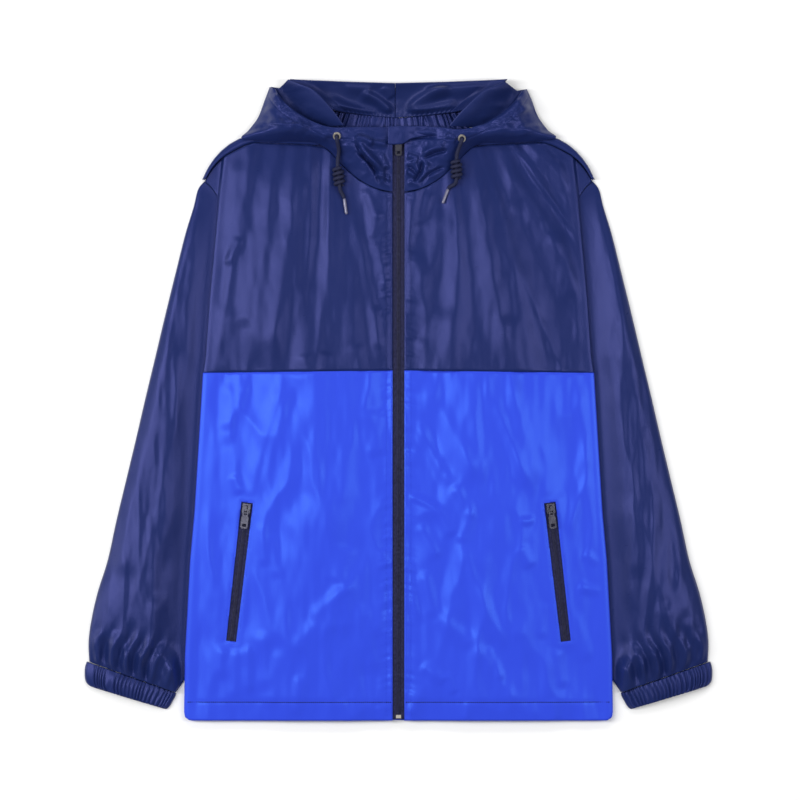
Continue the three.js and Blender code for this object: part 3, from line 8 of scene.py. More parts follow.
import bmesh
import bpy
import numpy as np
from mathutils import Vector
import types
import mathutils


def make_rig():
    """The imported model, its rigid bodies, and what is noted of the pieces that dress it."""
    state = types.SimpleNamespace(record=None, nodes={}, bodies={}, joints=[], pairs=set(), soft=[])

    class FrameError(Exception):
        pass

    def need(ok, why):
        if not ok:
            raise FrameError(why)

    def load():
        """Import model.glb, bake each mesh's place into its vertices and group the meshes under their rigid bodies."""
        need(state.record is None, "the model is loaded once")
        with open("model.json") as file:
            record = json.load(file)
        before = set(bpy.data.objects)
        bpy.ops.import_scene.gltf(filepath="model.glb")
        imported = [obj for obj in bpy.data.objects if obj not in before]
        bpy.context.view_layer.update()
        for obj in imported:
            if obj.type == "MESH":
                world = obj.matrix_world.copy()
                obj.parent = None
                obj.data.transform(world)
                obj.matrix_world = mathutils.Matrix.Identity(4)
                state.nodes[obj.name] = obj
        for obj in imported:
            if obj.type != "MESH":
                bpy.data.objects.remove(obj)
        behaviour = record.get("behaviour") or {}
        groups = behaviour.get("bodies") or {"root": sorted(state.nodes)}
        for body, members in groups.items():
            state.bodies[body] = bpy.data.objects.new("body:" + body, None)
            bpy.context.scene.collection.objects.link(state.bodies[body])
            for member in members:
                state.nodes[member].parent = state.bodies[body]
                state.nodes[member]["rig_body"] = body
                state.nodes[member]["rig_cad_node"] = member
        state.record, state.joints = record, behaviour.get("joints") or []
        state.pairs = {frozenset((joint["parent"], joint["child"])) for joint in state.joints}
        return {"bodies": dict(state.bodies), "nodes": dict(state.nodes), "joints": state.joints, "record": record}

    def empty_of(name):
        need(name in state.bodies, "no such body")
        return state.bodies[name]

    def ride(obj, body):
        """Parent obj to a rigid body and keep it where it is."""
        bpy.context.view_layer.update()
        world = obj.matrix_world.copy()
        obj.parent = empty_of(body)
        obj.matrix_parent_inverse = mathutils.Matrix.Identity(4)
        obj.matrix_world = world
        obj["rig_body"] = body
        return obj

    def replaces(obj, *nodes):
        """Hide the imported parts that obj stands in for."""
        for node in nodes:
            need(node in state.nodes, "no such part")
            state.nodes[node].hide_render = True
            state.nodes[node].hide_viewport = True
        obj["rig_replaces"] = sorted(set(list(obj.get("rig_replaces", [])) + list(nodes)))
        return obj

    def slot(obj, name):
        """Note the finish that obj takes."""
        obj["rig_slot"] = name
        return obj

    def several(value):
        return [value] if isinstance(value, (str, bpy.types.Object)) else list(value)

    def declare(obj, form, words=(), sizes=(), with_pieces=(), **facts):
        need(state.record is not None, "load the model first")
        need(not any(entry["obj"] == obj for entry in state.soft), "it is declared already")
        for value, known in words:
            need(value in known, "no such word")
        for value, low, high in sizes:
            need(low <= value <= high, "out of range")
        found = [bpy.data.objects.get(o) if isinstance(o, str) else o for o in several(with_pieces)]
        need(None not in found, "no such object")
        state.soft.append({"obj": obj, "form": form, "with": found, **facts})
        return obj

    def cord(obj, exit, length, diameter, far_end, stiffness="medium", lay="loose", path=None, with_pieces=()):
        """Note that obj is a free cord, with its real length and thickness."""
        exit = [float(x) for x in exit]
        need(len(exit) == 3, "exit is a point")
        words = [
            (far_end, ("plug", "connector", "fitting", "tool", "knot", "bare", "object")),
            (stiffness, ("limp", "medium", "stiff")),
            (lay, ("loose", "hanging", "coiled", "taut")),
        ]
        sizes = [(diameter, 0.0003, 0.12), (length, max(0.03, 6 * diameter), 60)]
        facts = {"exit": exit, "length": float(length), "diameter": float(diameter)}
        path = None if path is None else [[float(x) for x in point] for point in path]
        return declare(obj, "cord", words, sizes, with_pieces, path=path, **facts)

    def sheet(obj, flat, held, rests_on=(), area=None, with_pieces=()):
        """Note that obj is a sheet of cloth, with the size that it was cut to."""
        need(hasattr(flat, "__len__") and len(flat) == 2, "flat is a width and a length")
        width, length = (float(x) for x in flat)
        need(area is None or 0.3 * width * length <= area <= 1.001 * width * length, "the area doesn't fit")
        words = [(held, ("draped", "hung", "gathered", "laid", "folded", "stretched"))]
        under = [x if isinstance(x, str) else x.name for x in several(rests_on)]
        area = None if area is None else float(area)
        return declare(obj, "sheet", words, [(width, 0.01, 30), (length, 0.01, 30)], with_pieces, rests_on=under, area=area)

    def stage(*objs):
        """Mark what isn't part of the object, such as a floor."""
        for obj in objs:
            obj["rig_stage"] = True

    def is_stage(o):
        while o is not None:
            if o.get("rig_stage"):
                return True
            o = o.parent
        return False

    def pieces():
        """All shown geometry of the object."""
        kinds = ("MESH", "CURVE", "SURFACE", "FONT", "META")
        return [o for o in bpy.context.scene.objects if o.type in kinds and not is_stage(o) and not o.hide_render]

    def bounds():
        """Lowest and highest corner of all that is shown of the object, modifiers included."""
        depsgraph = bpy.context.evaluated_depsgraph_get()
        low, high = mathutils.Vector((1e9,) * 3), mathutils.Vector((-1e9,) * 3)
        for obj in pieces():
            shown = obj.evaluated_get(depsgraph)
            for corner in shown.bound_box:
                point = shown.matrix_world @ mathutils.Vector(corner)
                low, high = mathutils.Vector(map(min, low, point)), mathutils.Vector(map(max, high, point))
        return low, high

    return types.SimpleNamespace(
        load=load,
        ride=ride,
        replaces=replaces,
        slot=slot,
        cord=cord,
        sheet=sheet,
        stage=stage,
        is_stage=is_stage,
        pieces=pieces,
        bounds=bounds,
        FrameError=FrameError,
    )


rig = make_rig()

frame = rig.load()
solid_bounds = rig.bounds()

# Back of the jacket: a royal blue lower panel and a navy yoke, both of thin shiny woven polyester.
# The yoke's cloth turns forward over the shoulder and is sewn to the front a little below the edge.
MILLIMETRE = 0.001
CLOTH = 0.6
FLOOR_LEVEL = 0.45
WING_LEVEL = 4.6
EDGE_TOP_LEVEL = 9.4
HEM_Y = -400
COLOUR_SEAM_Y = 37
COLOUR_SEAM_DROP = 3
SEAM_GAP = 0.3
ARMPIT_Y = 57
BODY_EDGE = {
    "y": [-400, -390, -320, -200, -139, 34, 55, 126, 180, 254, 304, 332],
    "half": [265.5, 267.5, 266.5, 260, 254.5, 244, 241, 236, 231, 224, 218, 214],
}
ARMHOLE = {"y": [57, 150, 220, 254, 266, 273], "x": [218, 216, 218, 225, 234, 242]}
FRONT_LEVELS = {
    "y": [-400, -370, -200, 36, 200, 262, 300, 320, 345],
    "zip": [11, 13, 15, 15, 16, 17, 19.5, 21.5, 24.5],
    "crown": [13, 15.5, 18, 18.5, 18, 16, 13.5, 11.5, 11.5],
}
BACK_TOP = {
    "x": [0, 60, 94, 150, 184, 198, 210, 220, 229, 235, 242],
    "y": [321.5, 323.5, 325.5, 326, 323, 318, 311, 303, 293, 282, 272],
}
SHOULDER_EDGE = {
    "base": [97, 150, 184, 198, 210, 219, 227, 233.5, 238.6],
    "x": [97.5, 150, 185, 199.5, 211, 221.5, 230.5, 238.2, 245],
    "y": [332, 332, 330.5, 326, 319.5, 311, 301, 289.5, 275.2],
    "seam_x": [97.5, 149, 178.5, 191.5, 203.6, 214.6, 224.7, 233, 241.6],
    "seam_y": [317.7, 320.9, 321.9, 318.3, 312.5, 306.6, 298.8, 289.5, 274.8],
}
SLEEVE_SECTIONS = {
    "outer_x": [242.5, 250.5, 256, 266, 278, 291, 304, 316, 328, 340, 352, 363, 375.5, 383.5, 387, 386],
    "outer_y": [273.5, 263, 241, 208, 160, 107, 52, 2, -50, -100, -150, -200, -240, -275, -303, -327],
    "inner_x": [218, 218.4, 218.8, 219.2, 220, 221.2, 223, 226, 230.5, 235, 239.5, 244, 247, 250.5, 259, 278],
    "inner_y": [57, 54, 50, 45, 36, 22, -2, -38, -84, -130, -176, -222, -262, -300, -334, -365],
    "bend": [1, 0.9, 0.7, 0.45, 0.25, 0.1, 0, 0, 0, 0, 0, 0, 0, 0, 0, 0],
    "rise": [0, 5, 9, 12, 14, 15, 16, 16, 16, 16, 17, 18, 19, 18, 15, 8.5],
}
ROYAL = (0.030, 0.062, 0.66, 1)
NAVY = (0.009, 0.018, 0.090, 1)


def smooth(share):
    share = np.clip(share, 0, 1)
    return share * share * (3 - 2 * share)


def mix(start, end, share):
    return start + (end - start) * share


def body_half(y):
    return np.interp(y, BODY_EDGE["y"], BODY_EDGE["half"])


def soft_noise(x, y, pitch_x, pitch_y, seed):
    """Smooth uneven height from -1 to 1, one hump to each pitch."""
    lattice = np.random.default_rng(seed).uniform(-1, 1, (64, 64))
    u = np.asarray(x) / pitch_x + 640
    v = np.asarray(y) / pitch_y + 640
    column, row = np.floor(u).astype(int), np.floor(v).astype(int)
    along_u, along_v = smooth(u - column), smooth(v - row)
    low = mix(lattice[row % 64, column % 64], lattice[row % 64, (column + 1) % 64], along_u)
    high = mix(lattice[(row + 1) % 64, column % 64], lattice[(row + 1) % 64, (column + 1) % 64], along_u)
    return mix(low, high, along_v)


CREASE_FIT = {"end_share": 0.22, "height": 0.85, "width": 1.2}


def crease_height(creases, x, y):
    """Height of creases (x1, y1, x2, y2, left width, right width, height, bow) at plan points."""
    height = np.zeros(np.broadcast(x, y).shape)
    for x1, y1, x2, y2, left, right, rise, bow in creases:
        run_x, run_y = x2 - x1, y2 - y1
        run = math.hypot(run_x, run_y)
        along = ((x - x1) * run_x + (y - y1) * run_y) / run**2
        aside = ((x - x1) * run_y - (y - y1) * run_x) / run
        if run_y > 0:
            aside = -aside
        aside = -aside - bow * np.sin(np.pi * np.clip(along, 0, 1))
        width = np.where(aside < 0, left, right)
        ends = smooth(along / CREASE_FIT["end_share"]) * smooth((1 - along) / CREASE_FIT["end_share"])
        height += CREASE_FIT["height"] * rise * ends * np.exp(-((aside / (CREASE_FIT["width"] * width)) ** 2))
    return height


def colour_seam_y(x):
    return COLOUR_SEAM_Y - COLOUR_SEAM_DROP * np.abs(x) / body_half(COLOUR_SEAM_Y)


def yoke_seam_y(x):
    return colour_seam_y(x) + SEAM_GAP


def seam_x(y):
    """Side seam below the armpit, armhole seam above it."""
    armpit_turn = smooth((y - 44) / 11)
    below = mix(body_half(y) - 6, ARMHOLE["x"][0] - 1.2, armpit_turn)
    return np.where(y >= ARMPIT_Y, np.interp(y, ARMHOLE["y"], ARMHOLE["x"]), below)


def hem_y(x):
    corner_radius = 7
    corner = np.maximum(np.abs(x) - (body_half(HEM_Y) - corner_radius), 0)
    return HEM_Y + corner**2 / (2 * corner_radius)


def sleeve_inner_x(y):
    inner_y, inner_x = SLEEVE_SECTIONS["inner_y"][5:], SLEEVE_SECTIONS["inner_x"][5:]
    return np.interp(-y, [-value for value in inner_y], inner_x)


def grid_normals(rows, is_ring):
    if is_ring:
        across = np.roll(rows, -1, axis=1) - np.roll(rows, 1, axis=1)
    else:
        across = np.gradient(rows, axis=1)
    normals = np.cross(across, np.gradient(rows, axis=0))
    return normals / np.maximum(np.linalg.norm(normals, axis=2, keepdims=True), 1e-9)


def cloth_lengths(rows, is_ring):
    """Distance across and along the cloth at each grid point, which its weave follows."""
    steps_across = np.linalg.norm(np.diff(rows, axis=1, prepend=rows[:, :1]), axis=2)
    steps_along = np.linalg.norm(np.diff(rows, axis=0, prepend=rows[:1]), axis=2)
    across = np.cumsum(steps_across, axis=1)
    middle = rows.shape[1] // (4 if is_ring else 2)
    across = across - across[:, middle:middle + 1]
    along = np.cumsum(steps_along, axis=0)[:, middle:middle + 1] + 0 * across
    return np.stack([across, along, 0 * across], axis=2)


def piece_mesh(name, vertices, faces, is_smooth=True):
    """Mesh from points in metres."""
    mesh = bpy.data.meshes.new(name)
    mesh.from_pydata(vertices, [], faces)
    if is_smooth:
        mesh.shade_smooth()
    return mesh


def wall_mesh(name, grids):
    """Mesh of closed thin walls round grids of middle points; each grid is (rows, whether it is a ring)."""
    vertices, quads, lengths = [], [], []
    start = 0
    for rows, is_ring in grids:
        row_count, column_count = rows.shape[:2]
        normals = grid_normals(rows, is_ring)
        for face in (1, -1):
            vertices.append((rows + normals * face * CLOTH / 2).reshape(-1, 3))
            lengths.append(cloth_lengths(rows, is_ring).reshape(-1, 3))
        index = start + np.arange(2 * row_count * column_count).reshape(2, row_count, column_count)
        if is_ring:
            index = np.concatenate([index, index[:, :, :1]], axis=2)
        front, back = index
        quads.append(np.stack([front[:-1, :-1], front[:-1, 1:], front[1:, 1:], front[1:, :-1]], axis=2))
        quads.append(np.stack([back[:-1, :-1], back[1:, :-1], back[1:, 1:], back[:-1, 1:]], axis=2))
        quads.append(np.stack([front[0, :-1], back[0, :-1], back[0, 1:], front[0, 1:]], axis=1))
        quads.append(np.stack([front[-1, :-1], front[-1, 1:], back[-1, 1:], back[-1, :-1]], axis=1))
        if not is_ring:
            quads.append(np.stack([front[:-1, 0], front[1:, 0], back[1:, 0], back[:-1, 0]], axis=1))
            quads.append(np.stack([front[:-1, -1], back[:-1, -1], back[1:, -1], front[1:, -1]], axis=1))
        start += 2 * row_count * column_count
    vertices = np.concatenate(vertices)
    quads = np.concatenate([block.reshape(-1, 4) for block in quads])
    corners = vertices[quads]
    first = np.einsum("ij,ij->i", corners[:, 0], np.cross(corners[:, 1], corners[:, 2])).sum()
    second = np.einsum("ij,ij->i", corners[:, 0], np.cross(corners[:, 2], corners[:, 3])).sum()
    if first + second < 0:
        quads = quads[:, ::-1]
    mesh = piece_mesh(name, (vertices * MILLIMETRE).tolist(), quads.tolist())
    weave = mesh.attributes.new("weave", "FLOAT_VECTOR", "POINT")
    weave.data.foreach_set("vector", (np.concatenate(lengths) * MILLIMETRE).astype(np.float32).ravel())
    return mesh


def add_piece(name, mesh, material, slot, nodes, body="jacket"):
    piece = bpy.data.objects.new(name, mesh)
    bpy.context.scene.collection.objects.link(piece)
    mesh.materials.append(material)
    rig.ride(piece, body)
    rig.slot(piece, slot)
    if nodes:
        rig.replaces(piece, *nodes)
    return piece


def add_cloth(name, grids, material, slot, node):
    """Cloth piece on its grids of middle points, in place of the CAD node that it stands for."""
    return add_piece(name, wall_mesh(name, grids), material, slot, [node])


def new_material(name):
    material = bpy.data.materials.new(name)
    material.use_nodes = True
    return material, material.node_tree, material.node_tree.nodes["Principled BSDF"]


def mixed_colour(tree, factor, first, second):
    blend = tree.nodes.new("ShaderNodeMix")
    blend.data_type = "RGBA"
    blend.inputs["A"].default_value = first
    blend.inputs["B"].default_value = second
    tree.links.new(factor, blend.inputs["Factor"])
    return blend.outputs["Result"]


def noise(tree, place, scale, detail, stretch=(1, 1, 1)):
    mapping = tree.nodes.new("ShaderNodeMapping")
    mapping.inputs["Scale"].default_value = stretch
    tree.links.new(place, mapping.inputs["Vector"])
    texture = tree.nodes.new("ShaderNodeTexNoise")
    texture.inputs["Scale"].default_value = scale
    texture.inputs["Detail"].default_value = detail
    tree.links.new(mapping.outputs["Vector"], texture.inputs["Vector"])
    return texture.outputs["Fac"]


def bump(tree, height, distance, strength, under=None):
    node = tree.nodes.new("ShaderNodeBump")
    node.inputs["Distance"].default_value = distance
    node.inputs["Strength"].default_value = strength
    tree.links.new(height, node.inputs["Height"])
    if under:
        tree.links.new(under, node.inputs["Normal"])
    return node.outputs["Normal"]


def taffeta(name, colour, tint, roughness):
    """Thin calendered plain weave: fine yarns, a faint crinkle, coloured gloss."""
    material, tree, shader = new_material(name)
    place = tree.nodes.new("ShaderNodeAttribute")
    place.attribute_name = "weave"
    weave = tree.nodes.new("ShaderNodeMath")
    weave.operation = "MULTIPLY"
    for number, direction in enumerate("XY"):
        yarns = tree.nodes.new("ShaderNodeTexWave")
        yarns.bands_direction = direction
        yarns.inputs["Scale"].default_value = 700
        yarns.inputs["Distortion"].default_value = 0.4
        tree.links.new(place.outputs["Vector"], yarns.inputs["Vector"])
        tree.links.new(yarns.outputs["Fac"], weave.inputs[number])
    crinkle = noise(tree, place.outputs["Vector"], 90, 3, (1, 0.45, 1))
    slubs = noise(tree, place.outputs["Vector"], 420, 2, (0.25, 1, 1))
    shade = noise(tree, place.outputs["Vector"], 14, 2, (1, 0.3, 1))
    darker = tuple(value * 0.86 for value in colour[:3]) + (1,)
    lighter = tuple(min(value * 1.12, 1) for value in colour[:3]) + (1,)
    tree.links.new(mixed_colour(tree, shade, darker, lighter), shader.inputs["Base Color"])
    gloss = tree.nodes.new("ShaderNodeMapRange")
    gloss.inputs["To Min"].default_value = roughness - 0.06
    gloss.inputs["To Max"].default_value = roughness + 0.06
    tree.links.new(slubs, gloss.inputs["Value"])
    tree.links.new(gloss.outputs["Result"], shader.inputs["Roughness"])
    crinkled = bump(tree, crinkle, 0.0006, 0.35)
    tree.links.new(bump(tree, weave.outputs["Value"], 0.00006, 0.3, crinkled), shader.inputs["Normal"])
    shader.inputs["Specular IOR Level"].default_value = 0.55
    shader.inputs["Specular Tint"].default_value = tint
    shader.inputs["Sheen Weight"].default_value = 0.05
    shader.inputs["Sheen Roughness"].default_value = 0.4
    shader.inputs["Sheen Tint"].default_value = tint
    return material


navy_cloth = taffeta("navy taffeta", NAVY, (0.24, 0.25, 0.70, 1), 0.3)
royal_cloth = taffeta("royal taffeta", ROYAL, (0.13, 0.37, 1, 1), 0.3)

SETTLING_ROUNDS = 24
BACK_CREASES = [
    (-150, 300, -120, 60, 22, 14, 1.2, 4),
    (-60, 310, -50, 20, 16, 22, 1.0, -3),
    (40, 300, 80, 10, 18, 14, 1.3, 5),
    (130, 280, 170, 40, 16, 20, 1.1, 0),
    (-170, 20, -140, -220, 20, 16, 1.2, 6),
    (-40, 0, -70, -300, 18, 24, 1.0, 0),
    (60, 10, 90, -260, 22, 16, 1.3, -5),
    (180, -40, 150, -360, 18, 18, 1.0, 0),
]


def back_points(shares, low_edge, high_edge):
    """Back panel: flat on the table, then raised over the sleeve's edge to the side seam."""
    rise_run, seam_ease, shoulder_ease = 11, 0.75, 2.6
    flat = np.concatenate([np.linspace(0, 0.9, 46), np.linspace(0.915, 1, 8)])
    rise = [(9.5, 0.03), (7.5, 0.2), (5.5, 0.5), (3.5, 0.8), (1.5, 0.97), (0, 1)]
    count = len(flat) + len(rise) + 2
    column = np.arange(count)
    before = np.concatenate([np.zeros(len(flat)), [b for b, _ in rise], [0, 0]])
    lift = np.concatenate([np.zeros(len(flat)), [r for _, r in rise], [1, 1]])
    share_x = np.concatenate([flat, np.ones(count - len(flat))])
    y = np.zeros((len(shares), count))
    for _ in range(SETTLING_ROUNDS):
        seam = seam_x(y) - seam_ease - shoulder_ease * smooth((y - 205) / 40)
        raised = y < ARMPIT_Y + 3
        lap = np.where(raised, np.minimum(sleeve_inner_x(y), seam + 1.4) - 2.4, seam - 3)
        x = np.where(column < len(flat), share_x * (lap - rise_run), lap - before)
        x = np.where(column == count - 2, mix(lap, seam, 0.5), x)
        x = np.where(column == count - 1, seam, x)
        y = mix(y, mix(low_edge(x), high_edge(x), np.asarray(shares)[:, None]), 0.5)
    z = FLOOR_LEVEL + np.where(raised, lift * (WING_LEVEL - FLOOR_LEVEL), 0)
    return np.stack([x, y, z], axis=2)


def both_sides(half):
    mirrored = half[:, :0:-1] * np.array([-1, 1, 1])
    rows = np.concatenate([mirrored, half], axis=1)
    x, y = rows[..., 0], rows[..., 1]
    inside = smooth((225 - np.abs(x)) / 25) * smooth((y + 395) / 20) * smooth((312 - y) / 20)
    ruck = crease_height(BACK_CREASES, x, y) + 0.25 + 0.25 * soft_noise(x, y, 26, 60, 3)
    rows[..., 2] += inside * np.maximum(ruck, 0)
    return rows


def back_top_y(x):
    return np.interp(np.abs(x), BACK_TOP["x"], BACK_TOP["y"])


def zip_level(y):
    return np.interp(y, FRONT_LEVELS["y"], FRONT_LEVELS["zip"])


def front_level(x, y, creases=()):
    """Middle of the front's cloth above the table inside the side folds."""
    share = np.abs(x) / body_half(y)
    crown = np.interp(y, FRONT_LEVELS["y"], FRONT_LEVELS["crown"])
    level = mix(zip_level(y), crown, smooth((share - 0.03) / 0.4))
    level = mix(level, EDGE_TOP_LEVEL, smooth((share - 0.45) / 0.53))
    inside = smooth((np.abs(x) - 9) / 8) * smooth((1 - share) / 0.05)
    return level + inside * crease_height(creases, x, y)


lower_back = both_sides(back_points(np.linspace(0, 1, 110), hem_y, colour_seam_y))
add_cloth("back_lower_cloth", [(lower_back, False)], royal_cloth, "royal_cloth", "back_lower")

flat_yoke = back_points(np.linspace(0, 1, 72), yoke_seam_y, back_top_y)
TURN = {
    "way": [0.35, 0.7, 0.93, 1, 1, 1, 1, 1, 1.12, 1.35, 1.7, 2],
    "inset": [0, 0, 0.35, 0.6, 0.3, 0, -0.3, -0.6, -0.3, 0, 0, 0],
    "height": [0, 0, 0.08, 0.22, 0.36, 0.5, 0.64, 0.78, 0.9, 0.98, 1, 1],
}


def shoulder_turn(base):
    """Rows of the yoke from its flat part over the shoulder edge to the forward seam."""
    def read(column):
        return np.interp(base[:, 0], SHOULDER_EDGE["base"], SHOULDER_EDGE[column])

    start = base[:, :2]
    edge = np.stack([read("x"), read("y")], axis=1)
    seam = np.stack([read("seam_x"), read("seam_y")], axis=1)
    seam_level = front_level(seam[:, 0], seam[:, 1])
    rows = []
    for number, (way, inset, height) in enumerate(zip(*TURN.values())):
        spot = mix(start, edge, way) if way <= 1 else mix(edge, seam, way - 1)
        towards = (seam if inset < 0 else start) - edge
        towards /= np.linalg.norm(towards, axis=1, keepdims=True)
        spot = spot + towards * abs(inset)
        level = mix(FLOOR_LEVEL, seam_level, height)
        neck = base[:, 0] < SHOULDER_EDGE["base"][0] - 2
        spot[neck] = start[neck] + [0, 0.3 * (number + 1)]
        level[neck] = FLOOR_LEVEL
        rows.append(np.concatenate([spot, level[:, None]], axis=1))
    return np.array(rows)


yoke = np.concatenate([flat_yoke, shoulder_turn(flat_yoke[-1])])
add_cloth("back_yoke_cloth", [(both_sides(yoke), False)], navy_cloth, "navy_cloth", "back_upper")

# Fronts: each side is a royal lower panel and a navy upper one of the back's polyester, joined by a
# straight seam at the chest. They wrap round the side folds to the side seams, and the hem is topstitched.
FRONT_TOP = {
    "x": [7, 20, 35, 49, 69, 80, 92, 112, 180, 192, 204, 217, 225, 233, 242],
    "y": [258.5, 260, 266, 274, 291, 304, 315, 317.8, 321, 317, 311, 304, 297, 288, 273.5],
}
ZIP_OPEN_HALF = 7
LEFT_UPPER_CREASES = [
    (-116, 330, -170, 20, 62, 15, 5.2, 0),
    (-80, 275, -66, 25, 15, 11, 2.6, 2),
    (-61, 252, -19, 30, 7, 5, 1.9, 4),
    (-44, 266, -22, 222, 6, 5, 1.5, 0),
    (-24, 238, -34, 198, 5, 5, 1.3, 0),
    (-33, 206, -15, 132, 6, 5, 1.5, 3),
    (-150, 335, -166, 215, 12, 9, 1.7, 0),
    (-176, 335, -196, 190, 10, 10, 1.6, -3),
    (-130, 335, -142, 230, 9, 8, 1.3, 0),
    (-200, 305, -214, 205, 8, 8, 1.5, 0),
    (-198, 205, -218, 168, 5, 5, 1.7, 3),
    (-217, 195, -230, 110, 8, 6, -1.6, 0),
    (-206, 120, -222, 25, 10, 12, 1.6, 0),
    (-196, 106, -176, 22, 12, 10, -1.9, 0),
    (-120, 60, -104, 25, 8, 7, 1.3, 0),
    (-52, 72, -40, 25, 9, 7, 1.3, -3),
    (-88, 62, -98, 25, 8, 7, -1.2, 0),
    (-224, 250, -232, 60, 6, 5, 1.0, 0),
    (-100, 300, -108, 120, 10, 12, -1.3, 0),
    (-28, 120, -24, 60, 6, 6, 1.3, 0),
]
RIGHT_UPPER_CREASES = [
    (75, 285, 71, 25, 9, 8, 2.2, 0),
    (62, 120, 66, 10, 24, 9, 2.0, 0),
    (96, 292, 140, 25, 12, 8, 2.7, -2),
    (108, 300, 170, 30, 10, 7, 2.4, 4),
    (120, 305, 232, 118, 13, 9, 3.1, 6),
    (161, 330, 205, 172, 9, 8, 2.2, 0),
    (171, 333, 226, 205, 9, 8, 2.2, 4),
    (54, 245, 33, 132, 12, 8, 2.0, 3),
    (24, 190, 38, 92, 9, 7, 1.6, 0),
    (140, 110, 147, 20, 20, 9, 1.9, 0),
    (196, 215, 226, 120, 18, 8, 1.9, 0),
    (132, 332, 150, 230, 8, 9, 1.5, 0),
    (222, 170, 231, 60, 8, 6, 1.5, 0),
    (90, 210, 108, 60, 12, 14, -1.6, 0),
    (180, 120, 196, 25, 12, 14, -1.4, 0),
    (28, 80, 46, 25, 8, 7, 1.3, 0),
    (42, 262, 24, 215, 6, 5, 1.4, 0),
    (198, 305, 214, 260, 7, 7, 1.3, 0),
]
LEFT_LOWER_CREASES = [
    (-92, 60, -84, -190, 24, 18, 2.2, 5),
    (-84, -120, -152, -330, 22, 20, 2.0, -8),
    (-142, 30, -183, -122, 7, 5, 1.9, -4),
    (-131, 30, -172, -125, 6, 6, 1.6, -3),
    (-212, 25, -216, -60, 7, 6, 1.6, 4),
    (-190, 28, -220, -40, 7, 6, 1.6, 5),
    (-36, -8, -26, -74, 14, 10, 1.7, 5),
    (-22, -180, -142, -322, 9, 16, 1.9, 6),
    (-60, -180, -76, -232, 12, 9, 1.5, 0),
    (-54, -226, -112, -276, 7, 6, 1.6, -3),
    (-46, -250, -34, -345, 12, 8, 1.7, 4),
    (-14, -210, -26, -300, 7, 5, 1.3, 0),
    (-218, -278, -222, -352, 6, 6, 1.6, 0),
    (-202, -304, -206, -378, 5, 6, 1.5, 0),
    (-188, -302, -186, -370, 6, 5, 1.4, 0),
    (-172, -284, -166, -365, 8, 6, 1.5, 3),
    (-150, -305, -160, -388, 7, 7, 1.4, 0),
    (-124, -340, -128, -396, 6, 6, 1.2, 0),
    (-236, -120, -240, -300, 10, 8, 1.4, 0),
    (-212, -130, -220, -250, 9, 8, -1.2, 0),
    (-196, -118, -206, -92, 5, 5, 1.2, 0),
    (-175, -150, -168, -210, 5, 6, 1.1, 2),
    (-158, -165, -150, -225, 7, 6, 1.0, 0),
    (-248, -20, -256, -180, 7, 5, 1.2, 0),
    (-75, -372, -60, -404, 6, 6, 1.3, 0),
    (-26, -380, -18, -402, 5, 5, 1.3, 0),
    (-120, -20, -116, -140, 12, 12, -1.1, 0),
]
RIGHT_LOWER_CREASES = [
    (30, 40, 106, -110, 16, 9, 2.4, -4),
    (80, 40, 104, -104, 12, 8, 1.8, 3),
    (24, -24, 70, -112, 7, 6, 2.0, -3),
    (66, -104, 94, -148, 7, 6, 1.8, 2),
    (93, -136, 76, -180, 6, 7, 1.6, 0),
    (76, -168, 138, -316, 9, 6, 2.2, -5),
    (10, -119, 52, -138, 4, 4, 2.0, 2),
    (46, -132, 68, -172, 6, 7, 1.7, 0),
    (26, -152, 50, -200, 7, 6, 1.5, 0),
    (30, -210, 48, -275, 8, 7, 1.8, 0),
    (44, -262, 98, -308, 9, 8, 2.0, -3),
    (92, -300, 148, -384, 9, 7, 1.9, 0),
    (12, -196, 28, -282, 6, 5, 1.6, -4),
    (142, 40, 166, -112, 20, 8, 2.2, 0),
    (118, 10, 171, -122, 6, 5, 2.0, -3),
    (228, 25, 238, -100, 8, 6, 1.6, 0),
    (238, -80, 247, -210, 7, 5, 1.5, 0),
    (230, -190, 252, -205, 5, 5, 1.3, 0),
    (222, -232, 254, -240, 5, 5, 1.4, 0),
    (212, -262, 236, -330, 7, 7, 1.4, 4),
    (198, -306, 206, -362, 6, 6, 1.4, 0),
    (186, -250, 178, -300, 5, 5, 1.1, 0),
    (150, -150, 170, -148, 4, 4, 1.5, 2),
    (152, -180, 166, -210, 6, 5, 1.2, 0),
    (26, -330, 60, -352, 6, 6, 1.5, 0),
    (58, -340, 70, -368, 5, 5, 1.3, 0),
    (112, -305, 130, -352, 4, 4, 1.2, 0),
    (190, -372, 196, -402, 6, 6, 1.2, 0),
    (90, -374, 84, -402, 6, 6, 1.2, 0),
]
HEM_STITCH_Y = -377
RIDGE_SOFTNESS = 0.004
FRONT_CLOTH = {
    "sway": 0.7, "crinkle": 0.32, "upper_facets": 3.0, "lower_facets": 2.6, "facets_level": 1.6,
    "zip_pucker": 0.7, "seam_pucker": 0.35, "seam_groove": 0.9, "hem_pucker": 0.3, "hem_groove": 0.45,
}
FAN_MIDDLE_Y = 150
FOLD_FANS = {-1: (70, 900), 1: (60, 430)}
FOLD_ANGLES = np.radians([60, 35, 12, -12, -35, -60, -80])
FOLD_RADIUS_IN, FOLD_RADIUS_UP, FOLD_MIDDLE_LEVEL = 2.6, 2.2, 7
UNDER_STEPS = 5


def front_top_y(x):
    return np.interp(np.abs(x), FRONT_TOP["x"], FRONT_TOP["y"])


def facets(x, y, pitch_x, pitch_y, seed):
    """Crumple of a crisp thin cloth: flat facets that meet in soft irregular ridges, 0 to 1."""
    drift = 0.5 * pitch_x * soft_noise(x, y, 2 * pitch_x, pitch_y, seed + 1)
    field = soft_noise(x + drift, y, pitch_x, pitch_y, seed)
    field = field + 0.35 * soft_noise(x, y + drift, pitch_x / 2, pitch_y / 2, seed + 2)
    return 1 - np.sqrt(field**2 + RIDGE_SOFTNESS)


